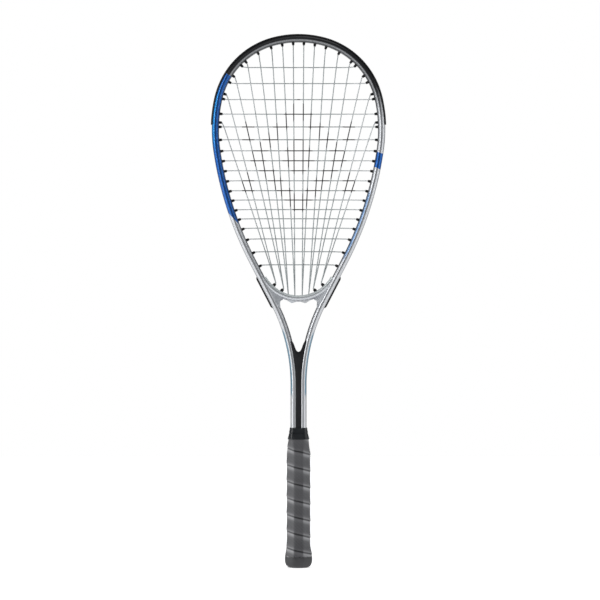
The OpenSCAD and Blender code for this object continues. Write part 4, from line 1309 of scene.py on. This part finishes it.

# %% [markdown]
# The bridge is sprayed in a satin silver after moulding. Its bands carry painted light and shade:
# a pale painted highlight along the strung edge, painted shade in the groove beside it, the
# brightest painted highlight on the ridge and greyer painted shade below. The webs and bosses are
# painted darker, as painted shade in the recesses under the bar. Each point of the bar knows its
# band, and the webs and bosses have a value of their own.

# %% Bridge spray
bridge_silver, tree, shader = start_material("bridge_satin", Metallic=0.5)
band = attribute(tree, "band")
# Painted light and shade in the bands: a painted highlight on the strung edge and ridge, painted shade in the
# groove, under the ridge, on the webs and on the bosses.
satin_and_painted_light = blend_colours(tree, ramp(tree, band, 0.24, 0.34), (0.7, 0.74, 0.74), (0.17, 0.18, 0.19))
satin_and_painted_light = blend_colours(tree, ramp(tree, band, 0.36, 0.44), satin_and_painted_light, (0.66, 0.68, 0.71))
satin_and_painted_light = blend_colours(tree, ramp(tree, band, 0.64, 0.78), satin_and_painted_light, (0.4, 0.41, 0.44))
satin_and_painted_light = blend_colours(tree, ramp(tree, band, -0.3, -0.6), satin_and_painted_light, (0.5, 0.52, 0.55))
satin_and_painted_light = blend_colours(tree, ramp(tree, band, -1.4, -1.6), satin_and_painted_light, (0.45, 0.46, 0.48))
grain = use_group(tree, FINE_GRAIN, Grain_Scale=1400.0, Tone_Scale=70.0)
scuffs = use_group(tree, THIN_SCUFFS, Scuff_Scale=140.0, Threshold=0.72)
satin_and_painted_light = blend_colours(tree, ramp(tree, grain.outputs["Tone"], 0.0, 1.0, 0.0, 0.14), satin_and_painted_light,
                      (0.7, 0.71, 0.72))
satin_and_painted_light = blend_colours(tree, maths(tree, "MULTIPLY", scuffs.outputs["Mask"], 0.1), satin_and_painted_light,
                      (0.75, 0.75, 0.76))
tree.links.new(satin_and_painted_light, shader.inputs["Base Color"])
tree.links.new(ramp(tree, grain.outputs["Tone"], 0.0, 1.0, 0.32, 0.42), shader.inputs["Roughness"])
bump(tree, shader, grain.outputs["Height"], 0.012 * MM)
dress(bridge_silver, throat_bridge)
print("bridge sprayed")

# %% [markdown]
# The strings are pale nylon. A stencil has been inked on the middle of the
# bed: it only exists where there is string, so its shape is read from separate short strokes. The
# mark here is a plain pattern of nested diamonds with a bar on each side. It is a mask from the
# place in the string plane, and the ink thins out at its edges.

# %% Strings with inked diamonds
string_nylon, tree, shader = start_material("string_nylon_inked", IOR=1.45)
split = tree.nodes.new("ShaderNodeSeparateXYZ")
tree.links.new(object_coords(tree), split.inputs[0])
MARK_HALF_W, MARK_HALF_H, MARK_Z = 66 * MM, 76 * MM, 528 * MM
from_x = maths(tree, "ABSOLUTE", maths(tree, "DIVIDE", split.outputs["X"], MARK_HALF_W))
rise = maths(tree, "SUBTRACT", split.outputs["Z"], MARK_Z)
from_z = maths(tree, "ABSOLUTE", maths(tree, "DIVIDE", rise, MARK_HALF_H))
diamond = maths(tree, "ADD", from_x, from_z)
outer_mark = zone(tree, diamond, 0.7, 1.0, 0.015)
inner_mark = ramp(tree, diamond, 0.36, 0.39, 1.0, 0.0)
bar_mark = maths(tree, "MULTIPLY", zone(tree, from_x, 0.86, 1.1, 0.01), zone(tree, from_z, 0.26, 0.6, 0.012))
inked = maths(tree, "MAXIMUM", maths(tree, "MAXIMUM", outer_mark, inner_mark), bar_mark)
patchy = noise(tree, object_coords(tree), 900.0, 2.0)
inked = maths(tree, "MULTIPLY", inked, ramp(tree, patchy, 0.2, 0.45, 0.92, 1.0))
grain = use_group(tree, FINE_GRAIN, Grain_Scale=2500.0, Tone_Scale=90.0)
toned = blend_colours(tree, grain.outputs["Tone"], (0.29, 0.32, 0.325), (0.39, 0.42, 0.425))
# Painted highlight: towards the sides of the bed the strings are painted lighter, though the nylon is one
# colour throughout.
bare = blend_colours(tree, ramp(tree, from_x, 0.5, 1.3, 0.0, 0.8), toned, (0.62, 0.64, 0.65))
tree.links.new(blend_colours(tree, inked, bare, (0.004, 0.004, 0.005)), shader.inputs["Base Color"])
tree.links.new(ramp(tree, inked, 0.0, 1.0, 0.22, 0.55), shader.inputs["Roughness"])
bump(tree, shader, grain.outputs["Height"], 0.01 * MM)
dress(string_nylon, main_string, cross_string)
print("strings inked")

# %% [markdown]
# The grip band is grey synthetic leather. Fine ribs run across it at a slant and its surface is
# pebbled. Light and shade are painted into its colour: the rib crests and the side facets are
# painted lighter, the raised edges of the turns get a painted highlight, strongest on the facets,
# with a little polish from hands, and the crevices between turns get painted shade. The ribs are a
# wave texture in the band's own slant, and the pebbles are small cells.

# %% Grip leather
leather, tree, shader = start_material("grip_leather_ribbed", Specular_IOR_Level=0.45)
place = object_coords(tree)
lean_in = tree.nodes.new("ShaderNodeMapping")
lean_in.inputs["Rotation"].default_value = (0.0, 0.38, 0.0)
tree.links.new(place, lean_in.inputs["Vector"])
ribs = tree.nodes.new("ShaderNodeTexWave")
ribs.bands_direction = "Z"
ribs.inputs["Scale"].default_value = 190
ribs.inputs["Distortion"].default_value = 1.6
ribs.inputs["Detail"].default_value = 2
ribs.inputs["Detail Scale"].default_value = 2.5
tree.links.new(lean_in.outputs[0], ribs.inputs["Vector"])
cells = tree.nodes.new("ShaderNodeTexVoronoi")
cells.inputs["Scale"].default_value = 950
tree.links.new(place, cells.inputs["Vector"])
grain = use_group(tree, FINE_GRAIN, Grain_Scale=1300.0, Tone_Scale=38.0)
relief = maths(tree, "ADD", maths(tree, "MULTIPLY", ribs.outputs["Fac"], 0.75),
               maths(tree, "MULTIPLY", cells.outputs["Distance"], 0.5))
relief = maths(tree, "ADD", relief, maths(tree, "MULTIPLY", grain.outputs["Height"], 0.3))
toned = blend_colours(tree, grain.outputs["Tone"], (0.043, 0.042, 0.046), (0.063, 0.062, 0.067))
# Painted highlight: the rib crests are painted lighter.
grip_colour_and_painted_light = blend_colours(tree, ramp(tree, ribs.outputs["Fac"], 0.3, 0.9, 0.0, 0.35), toned,
                       (0.12, 0.12, 0.127))
split = tree.nodes.new("ShaderNodeSeparateXYZ")
tree.links.new(place, split.inputs[0])
from_middle = maths(tree, "ABSOLUTE", split.outputs["X"])
on_facet = ramp(tree, from_middle, 4.5 * MM, 7.5 * MM)
# Painted highlight, with a little polish from hands: the raised edges of the turns are painted lighter, most
# on the side facets.
edge_highlight_and_polish = maths(tree, "MULTIPLY", attribute(tree, "catches_light"),
                 ramp(tree, on_facet, 0.0, 1.0, 0.15, 0.8))
# Painted light: the side facets are painted lighter than the front flat.
grip_colour_and_painted_light = blend_colours(tree, maths(tree, "MULTIPLY", on_facet, 0.13), grip_colour_and_painted_light, (0.16, 0.16, 0.165))
grip_colour_and_painted_light = blend_colours(tree, edge_highlight_and_polish, grip_colour_and_painted_light, (0.36, 0.36, 0.37))
# Painted shade: the crevice between two turns is painted near-black, most on the front flat.
seam_shade_mask = maths(tree, "MULTIPLY", attribute(tree, "crevice"), ramp(tree, on_facet, 0.0, 1.0, 0.92, 0.35))
grip_colour_and_painted_light = blend_colours(tree, seam_shade_mask, grip_colour_and_painted_light, (0.006, 0.006, 0.007))
tree.links.new(grip_colour_and_painted_light, shader.inputs["Base Color"])
tree.links.new(ramp(tree, grain.outputs["Tone"], 0.0, 1.0, 0.48, 0.6), shader.inputs["Roughness"])
bump(tree, shader, relief, 0.12 * MM, 0.8)
dress(leather, grip_wrap)
print("grip leather ready")

# %% [markdown]
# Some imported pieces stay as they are, because their shape is already right: the tape that shows
# when the collar is pushed up, and the pieces inside the handle that show only when it is opened.
# They still get a real finish each.

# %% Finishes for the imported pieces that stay
nodes = frame["nodes"]
tape_black = moulded("tape_vinyl", (0.01, 0.01, 0.011), (0.018, 0.018, 0.019), 0.35, 800.0, 0.03)
foam_grey = moulded("shell_foam", (0.035, 0.035, 0.038), (0.055, 0.055, 0.058), 0.7, 500.0, 0.12)
plug_grey = moulded("plug_foam_rubber", (0.06, 0.06, 0.06), (0.09, 0.09, 0.09), 0.8, 420.0, 0.15)
plain_steel = moulded("plain_steel", (0.4, 0.4, 0.42), (0.5, 0.5, 0.52), 0.3, 1200.0, 0.01, Metallic=1.0)
dress(tape_black, nodes["finishing_tape"])
dress(foam_grey, nodes["handle_shell_front"], nodes["handle_shell_back"])
dress(plug_grey, nodes["leg_plugs"])
dress(plain_steel, nodes["handle_dowel"], nodes["butt_staples"], nodes["grip_tack"])
print("packed pieces dressed: 7")
